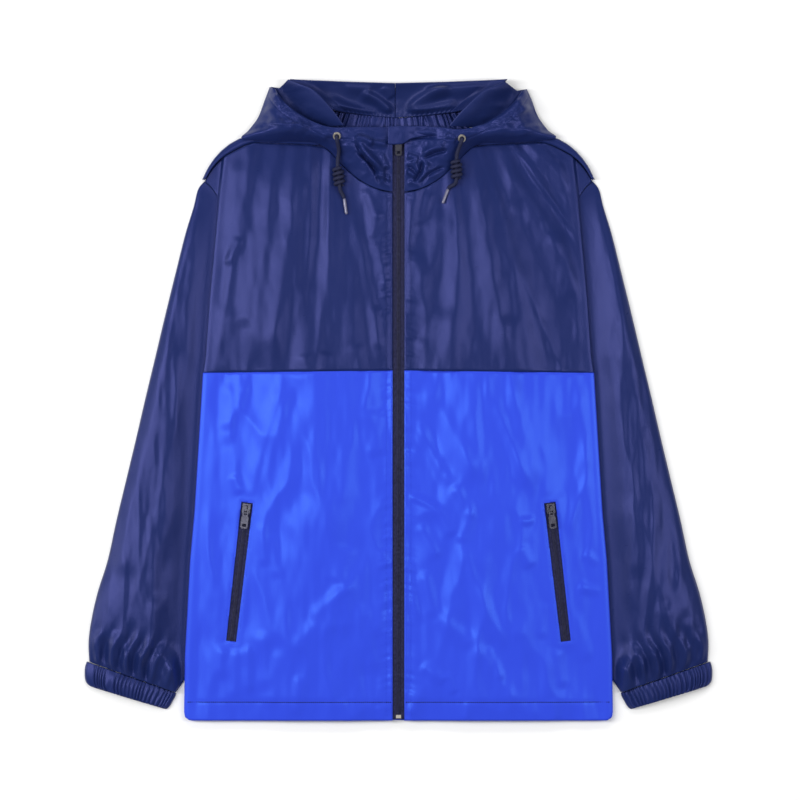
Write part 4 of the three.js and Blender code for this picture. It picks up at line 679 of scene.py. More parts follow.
def pucker(along, pitch, seed):
    """Uneven short gathers that thread pulls up along a seam."""
    drift = 2.2 * soft_noise(along, 0, pitch * 4, 1, seed)
    strength = 0.55 + 0.45 * soft_noise(along, 0, pitch * 6, 1, seed + 1)
    ripple = np.sin(2 * np.pi * (along / pitch + drift))
    return strength * (0.45 * ripple + 1.1 * soft_noise(along, 0, pitch * 0.7, 1, seed + 2))


def front_surface(side, creases, seed, x, y):
    """Middle of a front's cloth with its creases, seam puckers and crumple."""
    level = front_level(side * x, y, creases)
    inside = smooth((x - 8) / 6) * smooth((body_half(y) - x - 3) / 14)
    level = level + inside * FRONT_CLOTH["sway"] * soft_noise(x, y, 17, 85, seed)
    level = level + inside * FRONT_CLOTH["crinkle"] * soft_noise(x, y, 7, 22, seed + 5)
    if np.mean(y) > COLOUR_SEAM_Y:
        middle_x, middle_y = FOLD_FANS[side]
        around = (x - middle_x) / (middle_y - y) * (middle_y - FAN_MIDDLE_Y)
        crumple = FRONT_CLOTH["upper_facets"] * facets(around, y, 30, 230, seed + 31)
    else:
        crumple = FRONT_CLOTH["lower_facets"] * facets(x, y, 42, 85, seed + 31)
    level = level + inside * (crumple - FRONT_CLOTH["facets_level"])
    near_zip = np.exp(-(((x - 13) / 8) ** 2)) * smooth((x - 8) / 3)
    level = level + near_zip * FRONT_CLOTH["zip_pucker"] * pucker(y + 0.35 * x, 7.5, seed + 9)
    from_seam = np.abs(y - colour_seam_y(x))
    level = level + inside * FRONT_CLOTH["seam_pucker"] * pucker(x, 9, seed + 13) * np.exp(-from_seam / 7)
    level = level - FRONT_CLOTH["seam_groove"] * np.exp(-((from_seam / 1.3) ** 2)) * smooth((x - 8) / 3)
    from_hem = np.abs(y - HEM_STITCH_Y)
    level = level - inside * FRONT_CLOTH["hem_groove"] * np.exp(-((from_hem / 1.4) ** 2))
    return level + inside * FRONT_CLOTH["hem_pucker"] * pucker(x, 8, seed + 21) * np.exp(-from_hem / 9)


def front_grid(side, creases, seed, shares, low_edge, high_edge):
    """Front panel from the zip to the side fold, round it and back under to the seam."""
    flat = np.linspace(0, 1, 106)
    count = len(flat) + len(FOLD_ANGLES) + UNDER_STEPS
    column = np.arange(count)
    turn = np.clip(column - len(flat), 0, len(FOLD_ANGLES) - 1)
    inset = FOLD_RADIUS_IN * (1 - np.cos(FOLD_ANGLES[turn]))
    level = FOLD_MIDDLE_LEVEL + FOLD_RADIUS_UP * np.sin(FOLD_ANGLES[turn])
    under = np.clip((column - len(flat) - len(FOLD_ANGLES) + 1) / UNDER_STEPS, 0, 1)
    y = np.zeros((len(shares), count))
    for _ in range(SETTLING_ROUNDS):
        fold = body_half(y)
        seam = seam_x(y)
        outward = smooth((seam - fold + 4) / 8)
        past = np.where(FOLD_ANGLES[turn] < 0, mix(-inset, inset + 1, outward), -inset)
        on_turn = fold + past
        share = flat[np.clip(column, 0, len(flat) - 1)]
        x = np.where(column < len(flat), mix(ZIP_OPEN_HALF + SEAM_GAP, fold - 4.2, share), on_turn)
        x = np.where(under > 0, mix(on_turn, seam, under), x)
        y = mix(y, mix(low_edge(x), high_edge(x), np.asarray(shares)[:, None]), 0.5)
    z = np.where(column < len(flat), front_surface(side, creases, seed, x, y), level)
    z = np.where(under > 0, mix(level, WING_LEVEL, smooth(under)), z)
    easing = smooth((column - len(flat) + 9) / 9) * (column < len(flat))
    z = mix(z, front_level(side * x, y), easing)
    return np.stack([side * x, y, z], axis=2)


lower_shares = np.concatenate(
    [np.linspace(0, 0.066, 12), np.linspace(0.07, 0.98, 168), np.linspace(0.985, 1, 6)])
upper_shares = np.concatenate([np.linspace(0, 0.02, 6), np.linspace(0.03, 1, 118)])
fronts = {}
for side, word, upper_creases, lower_creases in (
    (-1, "left", LEFT_UPPER_CREASES, LEFT_LOWER_CREASES),
    (1, "right", RIGHT_UPPER_CREASES, RIGHT_LOWER_CREASES),
):
    seed = 40 + side * 7
    lower_rows = front_grid(side, lower_creases, seed, lower_shares, hem_y, colour_seam_y)
    fronts[word] = {
        "side": side, "lower": lower_creases, "upper": upper_creases, "seed": seed, "rows": lower_rows,
    }
    upper_rows = front_grid(side, upper_creases, seed, upper_shares, yoke_seam_y, front_top_y)
    add_cloth(f"front_yoke_{word}", [(upper_rows, False)], navy_cloth, "navy_cloth", f"front_upper_{word}")

# Pocket zips: a slanted slot cut in each lower front, with a woven tape and a nylon coil behind it and a
# metal slider and pull on top. The slot's edges are topstitched, so the cloth near them lies flat.
POCKET_ZIP = {"top": (188.8, -128), "bottom": (208.8, -301), "half": 7.2, "tape_half": 11, "depth": 1.5}
TEETH = {"pitch": 1.6, "half_width": 2.3, "height": 1.4, "above_tape": 0.5}
THREAD = 0.34
POCKET_STITCHES = {"from_slot": 2.4, "past_end": 3, "above_middle": 0.35}
pocket_top, pocket_bottom = np.array(POCKET_ZIP["top"]), np.array(POCKET_ZIP["bottom"])
pocket_length = math.dist(pocket_top, pocket_bottom)
pocket_along = (pocket_bottom - pocket_top) / pocket_length
pocket_across = np.array([pocket_along[1], -pocket_along[0]])


def pocket_point(distance, aside):
    """Plan point at a distance down the pocket from its top and aside from its middle line."""
    distance, aside = np.broadcast_arrays(np.asarray(distance, float), np.asarray(aside, float))
    return pocket_top + distance[..., None] * pocket_along + aside[..., None] * pocket_across


def away_from_pocket(x, y):
    """0 at the slot and 1 well clear of it, to calm the creases beside the zip."""
    offset_x, offset_y = np.abs(x) - pocket_top[0], y - pocket_top[1]
    down = offset_x * pocket_along[0] + offset_y * pocket_along[1]
    aside = offset_x * pocket_across[0] + offset_y * pocket_across[1]
    beyond = np.maximum(np.maximum(-down, down - pocket_length), 0)
    distance = np.hypot(np.maximum(np.abs(aside) - POCKET_ZIP["half"], 0), beyond)
    return smooth((distance - 2) / 16)


def teeth_mesh(name, points, across):
    """Row of coil teeth, each a low rounded bar across the zip; points are their middles on the tape."""
    outline = np.array([(-1, 0), (-0.94, 0.6), (-0.55, 1), (0.55, 1), (0.94, 0.6), (1, 0)])
    half_thick = 0.36 * TEETH["pitch"]
    vertices, faces = [], []
    for place, (point, side_way) in enumerate(zip(points, across)):
        way = np.cross(side_way, (0, 0, 1.0))
        for end in (-1, 1):
            for share, rise in outline:
                inset = half_thick * (1 if rise < 0.9 else 0.7)
                spot = point + side_way * share * TEETH["half_width"] + way * end * inset
                vertices.append(spot + np.array([0, 0, rise * TEETH["height"]]))
        start = place * 12
        faces.append([start + corner for corner in range(5, -1, -1)])
        faces.append([start + 6 + corner for corner in range(6)])
        for corner in range(6):
            after = (corner + 1) % 6
            faces.append([start + corner, start + after, start + 6 + after, start + 6 + corner])
    return piece_mesh(name, (np.array(vertices) * MILLIMETRE).tolist(), faces, is_smooth=False)


def stitch_mesh(name, runs, level_at, pitch=3.0, thread=THREAD):
    """Lines of stitches laid into the cloth: runs are plan lines, level_at gives the cloth's top."""
    vertices, faces = [], []
    for run in runs:
        run = np.asarray(run, float)
        reach = np.concatenate([[0], np.cumsum(np.linalg.norm(np.diff(run, axis=0), axis=1))])
        for begin in np.arange(0.5, reach[-1] - pitch, pitch):
            ends = np.array([begin, begin + pitch * 0.5, begin + pitch * 0.78])
            x, y = np.interp(ends, reach, run[:, 0]), np.interp(ends, reach, run[:, 1])
            z = level_at(x, y) + np.array([0.02, 0.16, 0.02]) * thread / THREAD
            way = np.array([x[2] - x[0], y[2] - y[0]])
            side_way = np.array([-way[1], way[0], 0]) / max(np.hypot(*way), 1e-6) * thread / 2
            start = len(vertices)
            crown, root = np.array([0, 0, thread * 0.45]), np.array([0, 0, 0.25])
            for point in np.stack([x, y, z], axis=1):
                vertices += [point - side_way, point + crown, point + side_way, point - root]
            for ring in (0, 4):
                for corner in range(4):
                    a, b = start + ring + corner, start + ring + (corner + 1) % 4
                    faces.append([a, b, b + 4, a + 4])
            faces.append([start + 3, start + 2, start + 1, start])
            faces.append([start + 8, start + 9, start + 10, start + 11])
    return piece_mesh(name, (np.array(vertices) * MILLIMETRE).tolist(), faces)


def grained(name, scale, detail, dark, light, roughness, stretch=(1, 1, 1)):
    """Finish whose colour runs between two shades along a fine grain, with what its bump is built on."""
    material, tree, shader = new_material(name)
    place = tree.nodes.new("ShaderNodeTexCoord").outputs["Object"]
    grain = noise(tree, place, scale, detail, stretch)
    tree.links.new(mixed_colour(tree, grain, dark, light), shader.inputs["Base Color"])
    shader.inputs["Roughness"].default_value = roughness
    return material, tree, shader, place, grain


zip_tape, tape_tree, tape_shader, _, tape_grain = grained(
    "woven zip tape", 620, 3, (0, 0, 0.003, 1), (0.036, 0.038, 0.11, 1), 0.8, (1, 0.6, 1))
tape_shader.inputs["Specular IOR Level"].default_value = 0.12
tape_tree.links.new(bump(tape_tree, tape_grain, 0.0004, 0.5), tape_shader.inputs["Normal"])

zip_coil, _, coil_shader, _, _ = grained(
    "nylon coil", 300, 2, (0, 0, 0.004, 1), (0.034, 0.036, 0.1, 1), 0.5)
coil_shader.inputs["Specular IOR Level"].default_value = 0.2

gunmetal, metal_tree, metal_shader, metal_place, _ = grained(
    "gunmetal", 260, 4, (0.022, 0.022, 0.034, 1), (0.085, 0.085, 0.11, 1), 0.34)
metal_shader.inputs["Metallic"].default_value = 1
metal_tree.links.new(bump(metal_tree, noise(metal_tree, metal_place, 1400, 2), 0.0001, 0.25),
                     metal_shader.inputs["Normal"])


def finish_node(node, material, edge):
    """Give a CAD node its finish and softly rounded edges."""
    part = bpy.data.objects[node]
    part.data.materials.clear()
    part.data.materials.append(material)
    rounding = part.modifiers.new("rounded edges", "BEVEL")
    rounding.width = edge * MILLIMETRE
    rounding.segments = 2
    rounding.limit_method = "ANGLE"
    return part


def flat_cloth_top(x, y):
    return front_level(x, y) + POCKET_STITCHES["above_middle"]


for word, front in fronts.items():
    side, shape = front["side"], front["rows"]
    flat_level = front_level(shape[..., 0], shape[..., 1])
    is_top = (shape[..., 2] > 9.7) & (np.abs(shape[..., 0]) < body_half(shape[..., 1]) - 3)
    calm = away_from_pocket(shape[..., 0], shape[..., 1])
    shape[..., 2] = np.where(is_top, mix(flat_level, shape[..., 2], calm), shape[..., 2])
    lip = np.exp(-((calm * 16 / 3) ** 2)) * np.where(calm > 0, 1, 0)
    shape[..., 2] += np.where(is_top, 0.25 * lip, 0)
    piece = add_cloth(f"front_cloth_{word}", [(shape, False)],
                      royal_cloth, "royal_cloth", f"front_lower_{word}")

    half = POCKET_ZIP["half"]
    corners = [pocket_point(0, -half), pocket_point(0, half), pocket_point(pocket_length, half - 1),
               pocket_point(pocket_length, 1 - half)]
    low_corners = [(side * x * MILLIMETRE, y * MILLIMETRE, 0.004) for x, y in corners]
    high_corners = [(x, y, 0.06) for x, y, _ in low_corners]
    sides = [[corner, (corner + 1) % 4, (corner + 1) % 4 + 4, corner + 4] for corner in range(4)]
    faces = [[3, 2, 1, 0], [4, 5, 6, 7], *sides]
    cutter_mesh = piece_mesh("slot", low_corners + high_corners, faces, is_smooth=False)
    solid = bmesh.new()
    solid.from_mesh(cutter_mesh)
    bmesh.ops.recalc_face_normals(solid, faces=solid.faces)
    solid.to_mesh(cutter_mesh)
    solid.free()
    cutter = bpy.data.objects.new("slot", cutter_mesh)
    bpy.context.scene.collection.objects.link(cutter)
    slot = piece.modifiers.new("pocket slot", "BOOLEAN")
    slot.operation, slot.object, slot.solver = "DIFFERENCE", cutter, "EXACT"
    bpy.context.view_layer.update()
    cut = bpy.data.meshes.new_from_object(piece.evaluated_get(bpy.context.evaluated_depsgraph_get()))
    piece.modifiers.clear()
    piece.data = cut
    cut.name = f"front_cloth_{word}"
    bpy.data.objects.remove(cutter)

    distances = np.linspace(-5, pocket_length + 5, 130)[:, None]
    spots = pocket_point(distances, np.linspace(-1, 1, 15)[None, :] * POCKET_ZIP["tape_half"])
    x, y = side * spots[..., 0], spots[..., 1]
    level = front_level(x, y) - POCKET_ZIP["depth"]
    tape_rows = np.stack([x, y, level], axis=2)
    add_cloth(f"pocket_tape_weave_{word}", [(tape_rows, False)], zip_tape, "zip_tape", f"pocket_tape_{word}")

    middles = pocket_point(np.arange(1.5, pocket_length - 1, TEETH["pitch"]), 0)
    x, y = side * middles[:, 0], middles[:, 1]
    middles = np.stack([x, y, front_level(x, y) - POCKET_ZIP["depth"] + TEETH["above_tape"]], axis=1)
    way = np.array([side * pocket_across[0], pocket_across[1], 0])
    add_piece(f"pocket_teeth_{word}", teeth_mesh(f"pocket_teeth_{word}", middles, [way] * len(x)),
              zip_coil, "zip_coil", [f"pocket_coil_{word}"])

    finish_node(f"pocket_slider_{word}", gunmetal, 0.25)
    finish_node(f"pocket_pull_{word}", gunmetal, 0.2)
    out, past = half + POCKET_STITCHES["from_slot"], POCKET_STITCHES["past_end"]
    border = [pocket_point(np.linspace(-past, pocket_length + past, 60), offset) for offset in (-out, out)]
    ends = [pocket_point(place, np.linspace(-out, out, 12)) for place in (-past, pocket_length + past)]
    runs = [run * [side, 1] for run in border + ends]
    add_piece(f"pocket_stitches_{word}", stitch_mesh(f"pocket_stitches_{word}", runs, flat_cloth_top),
              royal_cloth, "royal_cloth", [])

# Sleeves: one navy piece each, folded flat along its outer edge and tucked under the body's side fold.
# The cloth bunches up in short folds above the seam to the elastic cuff.
SLEEVE_LOW_LEVEL = 3.0
SLEEVE_HEAD_Y = 269
SCRUNCH_START, SCRUNCH_ROWS = 12.4, 2.6
SLEEVE_CLOTH = {
    "sway": 0.8, "crinkle": 0.35, "facets": 2.8, "facets_level": 0.6, "scrunch": 1.5, "scrunch_noise": 0.9,
    "edge_round": 46,
}
LEFT_SLEEVE_CREASES = [
    (254, 262, 300, 0, 6, 12, 2.2, 3),
    (262, 200, 292, -40, 7, 7, -2.0, 0),
    (236, 255, 243, 120, 6, 6, 1.8, 0),
    (250, 120, 263, -20, 10, 8, 1.8, 0),
    (262, 20, 293, -215, 8, 12, 3.0, -4),
    (283, -30, 318, -180, 10, 10, -1.8, 0),
    (300, 60, 352, -235, 16, 12, 2.2, 5),
    (262, -105, 282, -255, 6, 7, 2.2, 3),
    (275, -150, 300, -262, 7, 8, -1.8, 0),
    (352, -170, 366, -318, 12, 12, 2.6, 0),
    (330, -200, 342, -325, 9, 9, -2.2, 0),
    (300, -238, 322, -338, 9, 8, 2.8, -3),
    (262, -255, 283, -330, 6, 6, 2.6, 0),
    (350, -285, 360, -342, 6, 6, 2.0, 0),
    (372, -285, 378, -335, 5, 5, 1.6, 0),
]
RIGHT_SLEEVE_CREASES = [
    (252, 268, 300, 0, 7, 7, 2.4, 4),
    (246, 200, 268, -20, 9, 9, -2.0, 0),
    (262, 220, 298, 20, 10, 7, 1.7, 0),
    (256, 90, 285, -200, 8, 9, 2.6, 4),
    (285, 20, 300, -150, 10, 9, -2.2, 0),
    (300, 30, 330, -180, 8, 12, 2.4, 0),
    (270, -120, 292, -270, 7, 8, 2.4, 3),
    (312, -120, 345, -300, 12, 10, 2.2, 0),
    (345, -130, 366, -290, 12, 10, 1.8, 0),
    (296, -200, 310, -320, 8, 8, -2.4, 0),
    (262, -235, 290, -330, 6, 7, 2.6, 0),
    (330, -250, 338, -335, 8, 8, 2.4, 0),
    (360, -270, 368, -335, 7, 7, 1.8, 0),
]
CUFF_SCRUNCH = [
    (0.10, 0.035, 1.5), (0.19, 0.03, -1.6), (0.27, 0.028, 2.1), (0.35, 0.024, -1.8), (0.42, 0.026, 2.6),
    (0.49, 0.022, -2.4), (0.56, 0.026, 2.8), (0.63, 0.022, -2.2), (0.70, 0.026, 2.4), (0.78, 0.026, -1.6),
    (0.86, 0.03, 1.8),
]
armhole_y = np.linspace(273, 57, 200)
armhole_run = np.stack([np.interp(armhole_y, ARMHOLE["y"], ARMHOLE["x"]) + 0.3, armhole_y], axis=1)
armhole_length = np.concatenate([[0], np.cumsum(np.linalg.norm(np.diff(armhole_run, axis=0), axis=1))])
armhole_share = armhole_length / armhole_length[-1]


def row_at(table, place):
    """Row of a table at a fractional row number, each column on a smooth curve through the rows."""
    last = len(next(iter(table.values()))) - 1
    row = min(int(place), last - 1)
    t = place - row
    values = {}
    for name, numbers in table.items():
        before, here = numbers[max(row - 1, 0)], numbers[row]
        after, later = numbers[row + 1], numbers[min(row + 2, last)]
        bend = (2 * t**3 - 3 * t**2 + 1) * here + (t**3 - 2 * t**2 + t) * (after - before) / 2
        values[name] = bend + (3 * t**2 - 2 * t**3) * after + (t**3 - t**2) * (later - here) / 2
    return values


def flat_ring(outer, inner, upper_level, lower_level, top_count, low_count, plan_shift=None):
    """Section of a flattened tube: points from its outer edge over the top and back below."""
    span = math.dist(outer, inner)
    radius = (SLEEVE_LOW_LEVEL - FLOOR_LEVEL) / 2
    edge = radius / span
    angles = np.linspace(0, np.pi / 2, 4)
    over = np.linspace(edge, 1 - edge, top_count)
    below = np.linspace(1 - edge, edge, low_count)
    corner = edge * (1 - np.cos(angles[:-1]))
    middle = FLOOR_LEVEL + radius
    shares = np.concatenate([corner, over, 1 - corner[::-1], 1 - corner[1:], below, corner[:0:-1]])
    x = outer[0] + (inner[0] - outer[0]) * shares
    y = outer[1] + (inner[1] - outer[1]) * shares
    if plan_shift:
        shift_x, shift_y = plan_shift(shares)
        x, y = x + shift_x, y + shift_y
    rise = radius * np.sin(angles[:-1])
    start = len(corner)
    z = np.full(len(shares), float(middle))
    z[:start] += rise
    z[start:start + top_count] = upper_level(x, y, over, slice(start, start + top_count))
    low_start = start + top_count + len(corner) + len(corner) - 1
    z[start + top_count:start + top_count + len(corner)] += rise[::-1]
    z[start + top_count + len(corner):low_start] -= rise[1:]
    z[low_start:low_start + low_count] = lower_level(below)
    z[low_start + low_count:] -= rise[:0:-1]
    return np.stack([x, y, z], axis=1)


def sleeve_rows(creases, seed):
    rows = []
    places = np.concatenate(
        [np.linspace(0, 1.2, 16), np.linspace(1.3, SCRUNCH_START, 118), np.linspace(12.46, 15, 42)])
    for place in places:
        section = row_at(SLEEVE_SECTIONS, place)
        outer = (section["outer_x"], section["outer_y"])
        inner = (section["inner_x"], section["inner_y"])
        first = {name: numbers[0] for name, numbers in SLEEVE_SECTIONS.items()}
        bend, rise = section["bend"], section["rise"]

        def armhole_bend(share):
            seam_place_x = np.interp(share, armhole_share, armhole_run[:, 0])
            seam_place_y = np.interp(share, armhole_share, armhole_run[:, 1])
            straight_x = first["outer_x"] + (first["inner_x"] - first["outer_x"]) * share
            straight_y = first["outer_y"] + (first["inner_y"] - first["outer_y"]) * share
            return (seam_place_x - straight_x) * bend, (seam_place_y - straight_y) * bend

        def upper_level(x, y, share, part):
            x, y = x[part], y[part]
            span = math.dist(outer, inner)
            above_armpit = np.maximum(body_half(y), np.interp(y, ARMHOLE["y"], ARMHOLE["x"]))
            covered = np.where(y > ARMPIT_Y, above_armpit, body_half(np.maximum(y, HEM_Y)))
            reach = mix(42, 12, smooth((-300 - y) / 40))
            free = np.where(y > SLEEVE_HEAD_Y, 0, smooth((x - covered - 3.5) / reach))
            rounded = np.sqrt(np.clip(share * span / SLEEVE_CLOTH["edge_round"], 0, 1))
            crumple = facets(x, y, 27, 170, seed + 31) - SLEEVE_CLOTH["facets_level"]
            folds = crease_height(creases, x, y) + SLEEVE_CLOTH["sway"] * soft_noise(x, y, 9, 70, seed)
            crinkle = SLEEVE_CLOTH["crinkle"] * soft_noise(x, y, 5, 17, seed + 3)
            folds += crinkle + SLEEVE_CLOTH["facets"] * crumple
            past = np.clip((place - SCRUNCH_START) / SCRUNCH_ROWS, 0, 1)
            bunch = sum(height * np.exp(-(((share - centre - 0.03 * math.sin(7 * past)) / width) ** 2))
                        for centre, width, height in CUFF_SCRUNCH)
            off_edges = smooth(share / 0.1) * smooth((1 - share) / 0.06)
            bunch = bunch + SLEEVE_CLOTH["scrunch_noise"] * soft_noise(x, y, 5, 15, seed + 8) * off_edges
            near_cuff = smooth(past * 1.5) * (0.35 + 0.65 * smooth((1 - past) * 6))
            bunch = SLEEVE_CLOTH["scrunch"] * bunch * near_cuff
            folds = folds * smooth(share * span / 16) * smooth(rise / 10)
            return SLEEVE_LOW_LEVEL + free * (rise * rounded + folds + bunch)

        def lower_level(share):
            return np.full_like(share, FLOOR_LEVEL)

        rows.append(flat_ring(outer, inner, upper_level, lower_level, 78, 30, armhole_bend))
    return np.array(rows)


# Cuffs: a folded navy band of the same polyester, sewn round the sleeve's end and open at the wrist.
# The elastic inside it draws the cloth into even gathers.
CUFF_ROWS = {
    "outer_x": [389.3, 391.4, 391.9, 391, 387.6, 384.5],
    "outer_y": [-326.9, -334, -342, -350.5, -355.6, -357.5],
    "inner_x": [278, 279.3, 282.4, 285.5, 288.5, 290.5],
    "inner_y": [-366, -370.5, -376, -381.5, -384.8, -386],
    "puff": [-0.9, 0.5, 0.9, 0.6, 0.1, -0.6],
}
CUFF_RISE = 8.5
GATHER_COUNT = 22
GATHER_EDGE = 22


def cuff_rows(seed):
    rows = []
    for place in np.linspace(0, 5, 30):
        row = row_at(CUFF_ROWS, place)
        outer = (row["outer_x"], row["outer_y"])
        inner = (row["inner_x"], row["inner_y"])
        puff = row["puff"]

        def gathers(share):
            drift = 0.9 * soft_noise(share * 100, 0, 11, 1, seed)
            drift = drift + 0.12 * soft_noise(share * 100, place, 5, 1.4, seed + 2)
            wave = np.sin(2 * np.pi * (GATHER_COUNT * share + drift))
            depth = 1.0 + 0.4 * soft_noise(share * 100, place, 7, 2.5, seed + 4)
            return depth * (wave - 0.35 * wave**2) * (0.55 + 0.45 * math.sin(math.pi * (place + 0.4) / 5.8))

        def upper_level(x, y, share, part):
            crown = np.sqrt(np.clip(4 * share * (1 - share), 0, 1))
            off_edges = smooth(share * GATHER_EDGE) * smooth((1 - share) * GATHER_EDGE)
            return SLEEVE_LOW_LEVEL + (CUFF_RISE + puff) * crown + off_edges * gathers(share)

        def lower_level(share):
            off_edges = smooth(share * GATHER_EDGE) * smooth((1 - share) * GATHER_EDGE)
            return FLOOR_LEVEL + off_edges * np.maximum(gathers(share) + 0.5, 0) * 0.8

        rows.append(flat_ring(outer, inner, upper_level, lower_level, 176, 64))
    return np.array(rows)


for side, word, creases in ((-1, "left", LEFT_SLEEVE_CREASES), (1, "right", RIGHT_SLEEVE_CREASES)):
    mirror = np.array([side, 1, 1])
    add_cloth(f"sleeve_cloth_{word}", [(sleeve_rows(creases, 70 + side) * mirror, True)],
              navy_cloth, "navy_cloth", f"sleeve_{word}")
    add_cloth(f"cuff_cloth_{word}", [(cuff_rows(80 + side) * mirror, True)],
              navy_cloth, "navy_cloth", f"cuff_{word}")

# Neck band: a strip of the navy polyester between the back's neckline and the hood.
# It is sewn to both and drawn into small gathers on the hood's side.
NECK_BAND = {"low_half": 93, "low_y": 325.4, "low_rise": 4.6, "high_half": 79, "hood_gap": 0.7}
BOWL_LOW = {
    "share": [0, 0.5, 0.8, 1],
    "x": [0.15, 42, 66, 82], "y": [353.5, 357, 359.5, 362], "z": [4.2, 6, 12, 33],
}
NECK_GATHERS = {"count": 22, "height": 1.25, "level": 2.3}

band_share = np.linspace(0, 1, 300)[None, :]
band_up = np.linspace(0, 1, 24)[:, None]
across = 2 * band_share - 1
band_half = mix(NECK_BAND["low_half"], NECK_BAND["high_half"], band_up)
band_low = NECK_BAND["low_y"] + NECK_BAND["low_rise"] * across**2
band_high = np.interp(NECK_BAND["high_half"] * np.abs(across), BOWL_LOW["x"], BOWL_LOW["y"])
band_high = band_high - NECK_BAND["hood_gap"]
gather_drift = 0.55 * soft_noise(band_share * 100, 0, 6, 1, 11)
gather_drift = gather_drift + 0.15 * soft_noise(band_share * 100, band_up * 3, 4, 1, 12)
gather = np.cos(2 * np.pi * (NECK_GATHERS["count"] * band_share + gather_drift))
gather = gather * mix(0.3, 1, band_up) * (0.85 + 0.4 * soft_noise(band_share * 100, band_up, 5, 1, 13))
band_level = NECK_GATHERS["level"] + NECK_GATHERS["height"] * gather * smooth((1 - np.abs(across)) * 12)
band_rows = np.stack([band_half * across, mix(band_low, band_high, band_up), band_level], axis=2)
add_cloth("neck_band_cloth", [(band_rows, False)], navy_cloth, "navy_cloth", "neck_band")

# Hood: two halves sewn along the middle, lying open. Its rim is turned over into a casing for the cord,
# its inner wings fold in beside the neck, and the right rim laps over the top of the zip.
HOOD_DRAPE_LEFT = {
    "base_x": [160.5, 167, 175, 187, 195, 166, 132, 103, 86, 68.5, 48.7, 28, 7.4],
    "base_y": [391, 374, 353, 336.5, 326.5, 323, 322.5, 320.5, 310.7, 291.6, 274.9, 263.9, 259.5],
    "lift": [5, 5.5, 7, 9, 2.8, 2.2, 2.2, 2.0, 0.4, 0, 0, 0, 0],
    "rim_x": [153.5, 144, 131, 118, 108, 99, 92, 84, 74, 60, 44, 26, 7.4],
    "rim_y": [387, 373, 361, 352.5, 347, 343.5, 341, 339.5, 339, 339.5, 340, 340, 340],
    "rim_z": [16, 25, 30, 32, 32, 31.5, 31, 30.5, 30, 29, 27.5, 25.5, 24],
    "bulge": [2, 4, 5, 6, 6, 7, 6, 5, 4, 3, 2, 1, 0],
}
HOOD_DRAPE_RIGHT = {
    "base_x": [160, 166, 174, 186, 196, 166, 132, 103, 86, 68.5, 48.7, 28, 7.4],
    "base_y": [388.5, 375, 354, 337, 327, 322.5, 321, 320, 310.7, 291.6, 274.9, 263.9, 259.5],
    "lift": [5, 5.5, 7, 9, 2.8, 2.2, 2.2, 2.0, 0.4, 0, 0, 0, 0],
    "rim_x": [154, 144, 131, 119, 108, 98, 90, 80, 70, 58, 44, 26, 7.4],
    "rim_y": [385, 371, 359, 350.5, 344, 341, 338.5, 337, 337, 339, 340, 340, 340],
    "rim_z": [16, 25, 30, 32, 32, 31.5, 31, 30.5, 30, 29, 27.5, 25.5, 24],
    "bulge": [2, 4, 5, 6, 6, 7, 6, 5, 4, 3, 2, 1, 0],
}
HOOD_WING_LEFT = {
    "crest_x": [68, 83, 104, 123, 137], "crest_y": [342, 362, 384, 393, 399],
    "crest_z": [25, 33, 37, 34, 26],
    "dip_x": [100, 126, 138, 146, 149], "dip_y": [340, 353, 370, 383, 389], "dip_z": [14, 14, 12, 10, 8],
    "fold_x": [184, 174, 166, 162, 159], "fold_y": [338, 353, 375, 386, 391],
    "fold_z": [10, 8, 6.5, 6, 5.5],
}
HOOD_WING_RIGHT = {
    "crest_x": [63, 78, 104, 118, 132], "crest_y": [341, 359, 383, 390, 396.5],
    "crest_z": [25, 33, 37, 34, 26],
    "dip_x": [98, 124, 138, 146, 148], "dip_y": [340, 352, 369, 380, 386], "dip_z": [14, 14, 12, 10, 8],
    "fold_x": [184, 173, 165.5, 162, 159], "fold_y": [338.5, 354, 375, 384, 388],
    "fold_z": [10, 8, 6.5, 6, 5.5],
}
BOWL_TOP = {
    "share": [0, 0.5, 0.85, 1],
    "x": [0.15, 60, 118, 135], "y": [394.3, 395.8, 398, 399], "z": [20, 22, 24, 26],
}
BOWL_TURN = [
    (-0.35, 0.93), (-0.5, 0.8), (-0.4, 0.6), (0.3, 0.35), (1.5, 0.15), (4, 0.05), (15, 0.01), (34, 0),
]
BOWL_CLOTH = {"folds": 2.7, "sway": 0.6, "sag": 4, "seam_dip": 0.7, "gathers": 0.8, "gather_count": 15}
BOWL_FOOT_LEVEL = 4.9
HOOD_SEAM_X = -4
BOWL_CREASES = [
    (-92, 377, -24, 353, 7, 5, 4.0, -3),
    (-48, 384, -6, 357, 6, 4, 3.2, 4),
    (-70, 392, -30, 388, 8, 6, 1.2, 0),
    (8, 360, 66, 392, 5, 9, 3.6, -4),
    (30, 386, 112, 394, 7, 8, 2.4, 3),
    (14, 356, 76, 372, 5, 6, 2.6, 0),
    (-20, 392, -8, 376, 5, 5, 1.0, 0),
]
